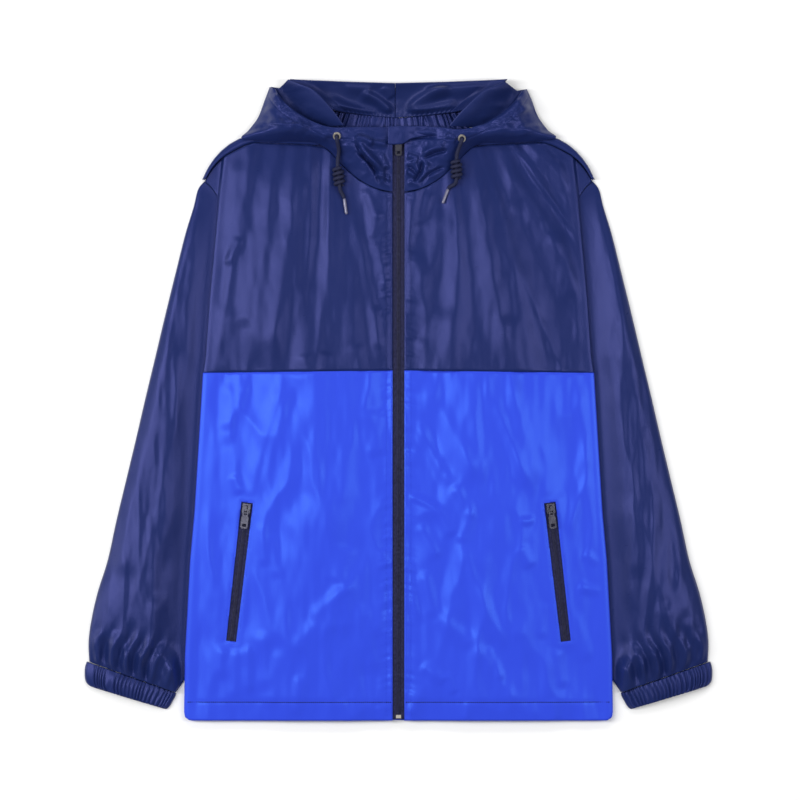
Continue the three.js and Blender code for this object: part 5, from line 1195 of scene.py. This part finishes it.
LEFT_DRAPE_CREASES = [
    (-53, 327, -13, 281, 3, 3.5, 2.6, -3),
    (-56, 324, -17, 277, 1.8, 1.8, -2.6, -3),
    (-51, 314, -20, 268, 3, 3.5, 2.2, 7),
    (-55, 311, -23, 265, 1.8, 2, -2.6, 7),
    (-16, 293, -15, 268, 1.5, 1.8, -2, 0),
    (-56, 327, -30, 318, 4, 3, 3.0, 3),
    (-38, 322, -12, 318, 3, 3, 2.0, 0),
    (-30, 282, -8, 272, 3, 4, 2.4, 2),
    (-24, 274, -10, 263, 3, 3, 2.0, 0),
    (-44, 302, -18, 292, 4, 5, 1.4, 0),
    (-22, 310, -14, 286, 3, 3, 1.6, 0),
    (-168, 366, -142, 338, 4, 4, 2.2, 2),
    (-165, 350, -128, 336, 6, 5, 2.4, 0),
    (-160, 332, -105, 341, 7, 5, 2.2, 0),
    (-146, 352, -112, 336, 5, 4, 1.8, 0),
    (-134, 341, -118, 345, 3, 3, 1.8, 0),
    (-152, 384, -146, 362, 5, 4, 1.6, 0),
    (-120, 330, -86, 328, 4, 4, 1.6, 0),
    (-98, 324, -82, 334, 4, 3, 1.2, 0),
]
RIGHT_DRAPE_CREASES = [
    (14, 331, 48, 332, 3, 3, 1.6, -2),
    (13, 327, 50, 328, 1.6, 1.8, -2.2, 0),
    (24, 270, 35, 299, 3, 4, 2.4, 3),
    (19, 270, 30, 300, 1.8, 1.8, -2.6, 3),
    (28, 304, 60, 315, 3.5, 3, 2.4, -3),
    (30, 300, 63, 311, 1.8, 1.8, -2.6, -2),
    (24, 264, 60, 291, 2, 2, -2.4, -5),
    (9, 292, 23, 280, 1.6, 1.6, -2, 2),
    (18, 300, 25, 282, 4, 3, 2.4, 0),
    (10, 305, 26, 300, 3, 3, 2.2, 0),
    (9, 287, 22, 278, 3, 3, 2.6, 0),
    (12, 273, 28, 265, 3, 3, 2.0, 0),
    (38, 290, 52, 270, 6, 5, 1.6, 0),
    (34, 316, 60, 322, 4, 4, 1.4, 0),
    (58, 330, 72, 322, 4, 3, 1.8, 2),
    (112, 345, 152, 372, 5, 4, 2.2, 3),
    (120, 338, 158, 352, 6, 5, 1.8, 0),
    (140, 352, 166, 366, 5, 4, 2.2, 0),
    (146, 376, 160, 358, 4, 4, 2.2, 0),
    (100, 332, 170, 336, 6, 6, 1.4, 0),
    (150, 338, 182, 342, 4, 5, 1.6, 0),
    (134, 342, 142, 352, 4, 4, 1.2, 0),
]
CASING_WIDTH = 15
DRAPE_CLOTH = {
    "neck_creases": 2.2, "side_creases": 1.3, "sway": 0.5, "facets": 1.8, "facets_level": 0.6, "crinkle": 0.3,
    "casing_groove": 0.7, "rim_roll": 0.8, "casing_pucker": 0.35,
}


def hood_drape(side, table, creases, seed):
    """Outer face of a hood half from its base on the chest up to the rim, with the rim's casing."""
    stations = dict(table)
    base_x, base_y = np.array(table["base_x"]), np.array(table["base_y"])
    under = np.where(base_y < 331, front_level(side * base_x, base_y), 0)
    stations["base_z"] = list(under + np.array(table["lift"]))
    up = np.concatenate([np.linspace(0, 0.97, 66), [0.98, 0.99, 1]])
    rows = []
    for place in np.linspace(0, 12, 190):
        row = row_at(stations, place)
        x, y = mix(row["base_x"], row["rim_x"], up), mix(row["base_y"], row["rim_y"], up)
        rounded = mix(up, np.sin(up * np.pi / 2), 0.7)
        length = math.dist((row["base_x"], row["base_y"]), (row["rim_x"], row["rim_y"]))
        from_rim = (1 - up) * length
        depth = mix(DRAPE_CLOTH["neck_creases"], DRAPE_CLOTH["side_creases"], smooth((x - 50) / 40))
        crumple = facets(side * x, y, 26, 16, seed + 7) - DRAPE_CLOTH["facets_level"]
        crease = crease_height(creases, side * x, y) * depth
        crease = crease + DRAPE_CLOTH["sway"] * soft_noise(side * x, y, 9, 12, seed)
        crease = crease + DRAPE_CLOTH["facets"] * crumple
        crease = crease + DRAPE_CLOTH["crinkle"] * soft_noise(side * x, y, 4, 5, seed + 2)
        z = mix(row["base_z"], row["rim_z"], rounded) + row["bulge"] * np.sin(np.pi * up)
        z = z + crease * smooth(up * 5) * smooth((x - 8) / 6) * smooth(from_rim / 4)
        from_stitches = from_rim - CASING_WIDTH
        z = z - DRAPE_CLOTH["casing_groove"] * np.exp(-((from_stitches / 1.2) ** 2)) * smooth(up * 4)
        z = z - DRAPE_CLOTH["rim_roll"] * smooth((0.03 - (1 - up)) / 0.03)
        gathered = pucker(place * 22 + up * 0.6, 6.5, seed + 5) * np.exp(-((from_stitches / 7) ** 2))
        z = z + DRAPE_CLOTH["casing_pucker"] * gathered * smooth(up * 4)
        rows.append(np.stack([side * x, y, z], axis=1))
    return np.array(rows)


def hood_wing(side, table, seed):
    rows = []
    share = np.linspace(0, 1, 40)
    for place in np.linspace(0, 4, 60):
        row = row_at(table, place)
        crest, dip, fold = ([row[f"{name}_{axis}"] for axis in "xyz"] for name in ("crest", "dip", "fold"))
        points = np.empty((len(share), 3))
        for axis in range(3):
            first = mix(crest[axis], dip[axis], share * 2)
            second = mix(dip[axis], fold[axis], share * 2 - 1)
            if axis == 2:
                first = mix(crest[2], dip[2], smooth(share * 2))
                second = mix(dip[2], fold[2], smooth(share * 2 - 1))
            points[:, axis] = np.where(share < 0.5, first, second)
        x, y = points[:, 0], points[:, 1]
        ripple = 0.8 * soft_noise(x, y, 10, 9, seed) + 1.6 * (facets(x, y, 22, 18, seed) - 0.6)
        points[:, 2] += ripple * smooth(share * 6)
        rows.append(points * [side, 1, 1])
    return np.array(rows)


def hood_bowl(side, seed):
    """Inside of the hood's back: from the gathered band up to the top fold, over it and back under."""
    share = np.linspace(0, 1, 90)
    low, top = ({axis: np.interp(share, table["share"], table[axis]) for axis in "xyz"}
                for table in (BOWL_LOW, BOWL_TOP))

    def shift(x):
        return side * x + HOOD_SEAM_X * (1 - smooth(x / 60))

    x, y = shift(low["x"]), low["y"]
    foot = np.minimum(low["z"], BOWL_FOOT_LEVEL)
    rows = [np.stack([x, y - 0.9 - 0.3 * share, foot], axis=1),
            np.stack([x, y - 0.5 - 0.2 * share, mix(foot, low["z"], 0.5)], axis=1)]
    for v in np.linspace(0, 1, 56):
        x, y = shift(mix(low["x"], top["x"], v)), mix(low["y"], top["y"], v)
        sag = BOWL_CLOTH["sag"] * math.sin(math.pi * v) * (1 - share)
        folds = BOWL_CLOTH["folds"] * crease_height(BOWL_CREASES, x, y)
        folds = folds + BOWL_CLOTH["sway"] * soft_noise(x, y, 16, 9, seed)
        folds = folds * smooth(v * 5) * smooth((1 - v) * 5) * smooth((1 - share) * 6)
        seam_dip = BOWL_CLOTH["seam_dip"] * np.exp(-((share * BOWL_LOW["x"][-1] / 1.6) ** 2)) * smooth(v * 5)
        gathers = BOWL_CLOTH["gathers"] * np.sin(2 * np.pi * share * BOWL_CLOTH["gather_count"])
        gathers = gathers * np.exp(-v / 0.08) * smooth((1 - share) * 4)
        z = mix(low["z"], top["z"], v**1.3) - sag + folds - seam_dip + gathers
        rows.append(np.stack([x, y, z], axis=1))
    for inset, level in BOWL_TURN:
        z = mix(FLOOR_LEVEL, top["z"], level)
        rows.append(np.stack([shift(top["x"] - inset * share), top["y"] - inset, z], axis=1))
    return np.array(rows)


ZIP_FLAP = {
    "x": [-13, 4, 16, 30, 42],
    "low_y": [318, 318.5, 325, 328, 330],
    "high_y": [340.3, 340.8, 341, 341, 340.5],
    "lift": [7.8, 8.5, 6.7, 3.5, 1.7],
}
flap_rows = []
for place in np.linspace(0, 4, 44):
    row = row_at(ZIP_FLAP, place)
    y = np.linspace(row["low_y"], row["high_y"], 22)
    ripple = 0.35 * soft_noise(row["x"], y, 6, 5, 31)
    z = zip_level(y) + row["lift"] + ripple * smooth(place)
    z[[0, -1]] -= 0.35
    flap_rows.append(np.stack([np.full_like(y, row["x"]), y, z], axis=1))

hood_inside = taffeta("navy taffeta wrong side", NAVY, (0.3, 0.3, 0.6, 1), 0.42)
left_hood = [(hood_bowl(-1, 21), False), (hood_wing(-1, HOOD_WING_LEFT, 22), False),
             (hood_drape(-1, HOOD_DRAPE_LEFT, LEFT_DRAPE_CREASES, 23), False)]
right_hood = [(hood_bowl(1, 25), False), (hood_wing(1, HOOD_WING_RIGHT, 26), False),
              (hood_drape(1, HOOD_DRAPE_RIGHT, RIGHT_DRAPE_CREASES, 27), False), (np.array(flap_rows), False)]
for word, grids in (("left", left_hood), ("right", right_hood)):
    hood = add_cloth(f"hood_cloth_{word}", grids, navy_cloth, "navy_cloth", f"hood_{word}")
    hood.data.materials.append(hood_inside)
    bowl_points = 2 * sum(rows.shape[0] * rows.shape[1] for rows, _ in grids[:2])
    for face in hood.data.polygons:
        face.material_index = int(max(face.vertices) < bowl_points)

# Front zip: two woven tapes sewn behind the fronts' edges, a closed nylon coil between them, a gunmetal
# slider and pull at the neck and a plated stop at the hem. The fronts' stitches are laid into the cloth.
ZIP = {"tape_half": 12, "depth": 1.5, "bottom_y": -398, "coil_bottom_y": -392.5, "top_y": 334}
ZIP_STITCHES = {"from_middle": (9.2, 15.5), "upper": (40, 256), "lower": (-394, 34)}
# The hem's stitches are drawn 1 mm wide and near black: the thread and the painted shade of the groove at the hem.
HEM_STITCHES_AND_SHADE = {"pitch": 2.6, "thread": 1.0, "from_zip": 8.5, "from_fold": 2.5}


for side, word in ((-1, "left"), (1, "right")):
    y = np.linspace(ZIP["bottom_y"], ZIP["top_y"], 420)[:, None]
    x = side * np.linspace(0.3, ZIP["tape_half"], 11)[None, :]
    x, y = np.broadcast_arrays(x, y)
    ripple = 0.12 * soft_noise(x, y, 8, 12, 90 + side) * smooth((np.abs(x) - 3) / 4)
    level = zip_level(y) - ZIP["depth"] + ripple
    tape_rows = np.stack([x, y, level], axis=2)
    add_cloth(f"zip_tape_weave_{word}", [(tape_rows, False)], zip_tape, "zip_tape", f"zip_tape_{word}")

y = np.arange(ZIP["coil_bottom_y"] + 0.6, ZIP["top_y"] - 0.6, TEETH["pitch"])
middles = np.stack([0 * y, y, zip_level(y) - ZIP["depth"] + TEETH["above_tape"]], axis=1)
add_piece("zip_teeth", teeth_mesh("zip_teeth", middles, [np.array([1.0, 0, 0])] * len(y)),
          zip_coil, "zip_coil", ["zip_coil"])
finish_node("zip_slider", gunmetal, 0.25)
finish_node("zip_pull", gunmetal, 0.2)

plated_brass, _, brass_shader, _, _ = grained(
    "plated brass", 320, 3, (0.6, 0.53, 0.4, 1), (0.85, 0.82, 0.76, 1), 0.28)
brass_shader.inputs["Metallic"].default_value = 1
finish_node("zip_bottom_stop", plated_brass, 0.3)


def front_top_level(x, y):
    front = fronts["left" if np.mean(x) < 0 else "right"]
    creases = front["upper"] if np.mean(y) > COLOUR_SEAM_Y else front["lower"]
    return front_surface(front["side"], creases, front["seed"], np.abs(x), y) + CLOTH / 2


for side, word in ((-1, "left"), (1, "right")):
    for name, material, slot in (("upper", navy_cloth, "navy_cloth"), ("lower", royal_cloth, "royal_cloth")):
        heights = np.linspace(*ZIP_STITCHES[name], 240)
        runs = [[(side * offset, y) for y in heights] for offset in ZIP_STITCHES["from_middle"]]
        stitches = stitch_mesh(f"zip_stitches_{name}_{word}", runs, front_top_level)
        add_piece(f"zip_stitches_{name}_{word}", stitches, material, slot, [])
    x = np.linspace(HEM_STITCHES_AND_SHADE["from_zip"], body_half(HEM_STITCH_Y) - HEM_STITCHES_AND_SHADE["from_fold"], 210)
    hem_run = np.stack([side * x, 0 * x + HEM_STITCH_Y], axis=1)
    # Painted shade: the hem's stitch line is thickened and dark, standing for the shade in the hem's groove as well as
    # the thread.
    stitches = stitch_mesh(f"hem_stitches_{word}", [hem_run], front_top_level,
                           HEM_STITCHES_AND_SHADE["pitch"], HEM_STITCHES_AND_SHADE["thread"])
    add_piece(f"hem_stitches_{word}", stitches, zip_tape, "zip_tape", [])

# Drawcord: a braided polyester cord that leaves the hood's casing through two plated eyelets.
# Each free end is tied in a barrel knot of four turns and closed by a grey tip. Its points are in metres.
DRAWCORDS = [
    {
        "name": "left",
        "upper": [(-0.0767, 0.3278, 0.0319), (-0.0769, 0.3262, 0.0344), (-0.0765, 0.323, 0.0348),
                  (-0.0752, 0.317, 0.0309), (-0.0743, 0.3105, 0.0268), (-0.075, 0.3035, 0.0233),
                  (-0.0757, 0.298, 0.0223), (-0.0758, 0.2926, 0.0224)],
        "knot": (-0.0745, 0.2782, 0.0224), "turn": 5.7, "pitch": 0,
        "tail": [(-0.0729, 0.2632, 0.0218), (-0.0716, 0.2593, 0.0208), (-0.0693, 0.2553, 0.0202),
                 (-0.0678, 0.2516, 0.0202)],
        "tip": [(-0.0676, 0.2509, 0.0201), (-0.0648, 0.2314, 0.0206)],
    },
    {
        "name": "right",
        "upper": [(0.0789, 0.325, 0.0308), (0.0791, 0.3239, 0.0333), (0.0779, 0.3203, 0.0332),
                  (0.075, 0.313, 0.0292), (0.0728, 0.3062, 0.0268), (0.0724, 0.3017, 0.0261)],
        "knot": (0.0722, 0.287, 0.0241), "turn": 2, "pitch": 6,
        "tail": [(0.0715, 0.2716, 0.0222), (0.0702, 0.2692, 0.0209), (0.0672, 0.2672, 0.02),
                 (0.064, 0.2656, 0.0196), (0.062, 0.2632, 0.0196)],
        "tip": [(0.0617, 0.2625, 0.0195), (0.055, 0.245, 0.0199)],
    },
]


def smooth_line(points, count):
    """Points of a Catmull-Rom curve through the given ones, evenly many on each stretch."""
    points = [Vector(point) for point in points]
    points = [2 * points[0] - points[1], *points, 2 * points[-1] - points[-2]]
    line = []
    for place in range(1, len(points) - 2):
        a, b, c, d = points[place - 1:place + 3]
        for step in range(count):
            t = step / count
            line.append(0.5 * (2 * b + (c - a) * t + (2 * a - 5 * b + 4 * c - d) * t**2
                               + (3 * b - a - 3 * c + d) * t**3))
    return [*line, points[-2]]


def tube(name, line, radius_at, sides):
    """Closed tube along a line of points, its radius given at each point's share of the way."""
    vertices, faces = [], []
    up = Vector((0, 0, 1))
    for place, point in enumerate(line):
        way = (line[min(place + 1, len(line) - 1)] - line[max(place - 1, 0)]).normalized()
        across = way.cross(up).normalized() if abs(way.z) < 0.95 else Vector((1, 0, 0))
        lift = across.cross(way)
        radius = radius_at(place / (len(line) - 1))
        for corner in range(sides):
            angle = 2 * math.pi * corner / sides
            vertices.append(point + radius * (math.cos(angle) * across + math.sin(angle) * lift))
    for place in range(len(line) - 1):
        for corner in range(sides):
            a, b = place * sides + corner, place * sides + (corner + 1) % sides
            faces.append([a, b, b + sides, a + sides])
    faces.append(list(range(sides - 1, -1, -1)))
    faces.append([(len(line) - 1) * sides + corner for corner in range(sides)])
    return piece_mesh(name, vertices, faces)


cord_braid, cord_tree, cord_shader = new_material("braided cord")
cord_place = cord_tree.nodes.new("ShaderNodeTexCoord").outputs["Object"]
braid = cord_tree.nodes.new("ShaderNodeMath")
braid.operation = "MAXIMUM"
for number, turn in enumerate((0.8, -0.8)):
    mapping = cord_tree.nodes.new("ShaderNodeMapping")
    mapping.inputs["Rotation"].default_value = (0, 0, turn)
    cord_tree.links.new(cord_place, mapping.inputs["Vector"])
    plait = cord_tree.nodes.new("ShaderNodeTexWave")
    plait.inputs["Scale"].default_value = 190
    cord_tree.links.new(mapping.outputs["Vector"], plait.inputs["Vector"])
    cord_tree.links.new(plait.outputs["Fac"], braid.inputs[number])
cord_colour = mixed_colour(
    cord_tree, braid.outputs["Value"], (0.003, 0.004, 0.016, 1), (0.014, 0.017, 0.055, 1))
cord_tree.links.new(cord_colour, cord_shader.inputs["Base Color"])
cord_tree.links.new(bump(cord_tree, braid.outputs["Value"], 0.0005, 0.6), cord_shader.inputs["Normal"])
cord_shader.inputs["Roughness"].default_value = 0.62
cord_shader.inputs["Specular IOR Level"].default_value = 0.25

cord_tip, _, tip_shader, _, _ = grained(
    "grey tip", 200, 3, (0.10, 0.10, 0.16, 1), (0.22, 0.21, 0.30, 1), 0.3)
tip_shader.inputs["Metallic"].default_value = 0.2

CORD_RADIUS = 0.0024
CORD_SIDES = 16
KNOT = {"half_length": 0.0138, "half_width": 0.0077, "half_height": 0.0058, "wraps": 4, "strand": 0.0024}
KNOT_STEPS, KNOT_SIDES, KNOT_END = 28, 12, 0.35
TIP = {"radius": 0.0019, "taper": 0.0002, "rounding": 0.0003, "steps": 14, "sides": 20}


def cord_radius(share):
    return CORD_RADIUS


def knot_radius(share):
    """The strand thins out where it dips into the knot at either end."""
    return KNOT["strand"] * min(1, KNOT_END + 12 * share, KNOT_END + 12 * (1 - share))


def tip_radius(share):
    return TIP["radius"] - TIP["taper"] * share - (TIP["rounding"] if share in (0, 1) else 0)


for cord in DRAWCORDS:
    word = cord["name"]
    middle = Vector(cord["knot"])
    turn, pitch = math.radians(cord["turn"]), math.radians(cord["pitch"])
    knot_way = Vector((-math.sin(turn), math.cos(turn) * math.cos(pitch), math.sin(pitch))).normalized()
    core = [middle + knot_way * share * KNOT["half_length"] for share in (0.6, 0, -0.6)]
    route = smooth_line([*cord["upper"], *core, *cord["tail"]], 7)
    path = [tuple(point) for point in route]
    length = sum((route[place + 1] - route[place]).length for place in range(len(route) - 1))
    strand = add_piece(f"drawcord_{word}", tube(f"drawcord_{word}", route, cord_radius, CORD_SIDES),
                       cord_braid, "cord", [f"cord_{word}", f"cord_tail_{word}"])

    across = knot_way.cross(Vector((0, 0, 1))).normalized()
    lift = across.cross(knot_way)
    wraps = []
    ring_width = KNOT["half_width"] - KNOT["strand"]
    ring_height = KNOT["half_height"] - KNOT["strand"]
    reach = KNOT["half_length"] - KNOT["strand"] * 0.9
    for step in range(KNOT["wraps"] * KNOT_STEPS + 1):
        angle = 2 * math.pi * step / KNOT_STEPS
        place = 1 - 2 * step / (KNOT["wraps"] * KNOT_STEPS)
        tighter = 1 - 0.12 * abs(place) ** 3
        wraps.append(middle + knot_way * reach * place + across * ring_width * tighter * math.cos(angle)
                     + lift * ring_height * tighter * math.sin(angle))
    knot_mesh = tube(f"barrel_knot_{word}", wraps, knot_radius, KNOT_SIDES)
    knot = add_piece(f"barrel_knot_{word}", knot_mesh, cord_braid, "cord", [f"knot_{word}"])

    tip_from, tip_to = (Vector(point) for point in cord["tip"])
    tip_line = [tip_from.lerp(tip_to, step / TIP["steps"]) for step in range(TIP["steps"] + 1)]
    tip_mesh = tube(f"aglet_{word}", tip_line, tip_radius, TIP["sides"])
    tip = add_piece(f"aglet_{word}", tip_mesh, cord_tip, "cord_tip", [f"cord_tip_{word}"])
    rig.cord(strand, exit=cord["upper"][0], length=round(length, 4), diameter=2 * CORD_RADIUS, far_end="knot",
            stiffness="limp", lay="loose", path=path, with_pieces=[knot, tip])
    finish_node(f"eyelet_{word}", plated_brass, 0.35)

# Cut of the cloth that shows: width and length in metres, flat area, and what each piece lies on.
# The areas are those of the modelled cloth; threads belong to the panel that they are sewn through.
CUTS = {
    "back_lower_cloth": (0.521, 0.438, 0.219, ["floor"]),
    "back_yoke_cloth": (0.49, 0.31, 0.135, ["floor"]),
    "neck_band_cloth": (0.2, 0.032, 0.0058, ["back_yoke_cloth"]),
    "front_cloth": (0.262, 0.44, 0.111, ["back_lower_cloth"]),
    "front_yoke": (0.245, 0.29, 0.065, ["back_yoke_cloth"]),
    "sleeve_cloth": (0.4, 0.64, 0.123, ["floor"]),
    "cuff_cloth": (0.25, 0.03, 0.0069, ["floor"]),
    "hood_cloth": (0.26, 0.24, 0.029, ["back_yoke_cloth"]),
    "zip_tape_weave": (0.0123, 0.734, 0.009, ["back_lower_cloth"]),
    "pocket_tape_weave": (0.0225, 0.187, 0.0042, ["back_lower_cloth"]),
}
THREADS = {
    "front_cloth": ["hem_stitches", "zip_stitches_lower", "pocket_stitches"],
    "front_yoke": ["zip_stitches_upper"],
}
for name, (width, length, area, lies_on) in CUTS.items():
    ends = [""] if name.startswith(("back", "neck")) else ["_left", "_right"]
    for end in ends:
        threads = [bpy.data.objects[thread + end] for thread in THREADS.get(name, [])]
        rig.sheet(bpy.data.objects[name + end], flat=(width, length), held="laid", rests_on=lies_on, area=area,
                 with_pieces=threads)

# Studio: pale paper under the jacket, four soft boxes above it and to its sides, and the camera straight
# above it at the photograph's scale of 1.25 mm a pixel.
PIXEL = 1.25 * MILLIMETRE
FRAME_PIXELS = 800
CAMERA_HEIGHT = 6.0
CENTRE_X, CENTRE_Y = 1.5 * PIXEL, 0

FLOOR_HALF = 9
floor_corners = [(x * FLOOR_HALF, y * FLOOR_HALF, 0) for x, y in ((-1, -1), (1, -1), (1, 1), (-1, 1))]
floor_mesh = piece_mesh("floor", floor_corners, [(0, 1, 2, 3)], is_smooth=False)
floor = bpy.data.objects.new("floor", floor_mesh)
bpy.context.scene.collection.objects.link(floor)
paper, _, paper_shader = new_material("pale paper")
paper_shader.inputs["Base Color"].default_value = (0.9, 0.9, 0.9, 1)
paper_shader.inputs["Roughness"].default_value = 0.9
paper_shader.inputs["Specular IOR Level"].default_value = 0.1
floor_mesh.materials.append(paper)
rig.stage(floor)

SOFT_BOXES = [
    {"name": "left box", "from": (-1.7, 0.3, 2.6), "size": (0.6, 2.6), "watts": 60},
    {"name": "right box", "from": (2.0, 0.1, 2.6), "size": (0.5, 2.6), "watts": 38},
    {"name": "top box", "from": (0.0, 3.0, 2.8), "size": (3.2, 0.7), "watts": 36},
    {"name": "low left box", "from": (-2.9, 0.1, 0.9), "size": (0.5, 2.8), "watts": 26},
]
for box in SOFT_BOXES:
    light = bpy.data.lights.new(box["name"], "AREA")
    light.shape = "RECTANGLE"
    light.size, light.size_y = box["size"]
    light.energy = box["watts"]
    lamp = bpy.data.objects.new(box["name"], light)
    bpy.context.scene.collection.objects.link(lamp)
    lamp.location = box["from"]
    lamp.rotation_euler = (-Vector(box["from"])).to_track_quat("-Z", "Y").to_euler()

world = bpy.data.worlds.new("studio")
bpy.context.scene.world = world
world.use_nodes = True
backdrop = world.node_tree.nodes["Background"]
backdrop.inputs["Color"].default_value = (1, 1, 1, 1)
backdrop.inputs["Strength"].default_value = 0.33

camera_data = bpy.data.cameras.new("camera")
camera_data.sensor_width = 36
camera_data.lens = 36 * CAMERA_HEIGHT / (FRAME_PIXELS * PIXEL)
camera = bpy.data.objects.new("camera", camera_data)
bpy.context.scene.collection.objects.link(camera)
camera.location = (CENTRE_X, CENTRE_Y, CAMERA_HEIGHT)
bpy.context.scene.camera = camera
bpy.context.scene.view_settings.view_transform = "Standard"

bpy.context.view_layer.update()
with open("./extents.json", "w") as size_file:
    sizes = {"solids": [list(corner) for corner in solid_bounds],
             "visual": [list(corner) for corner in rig.bounds()]}
    json.dump(sizes, size_file, indent=1)
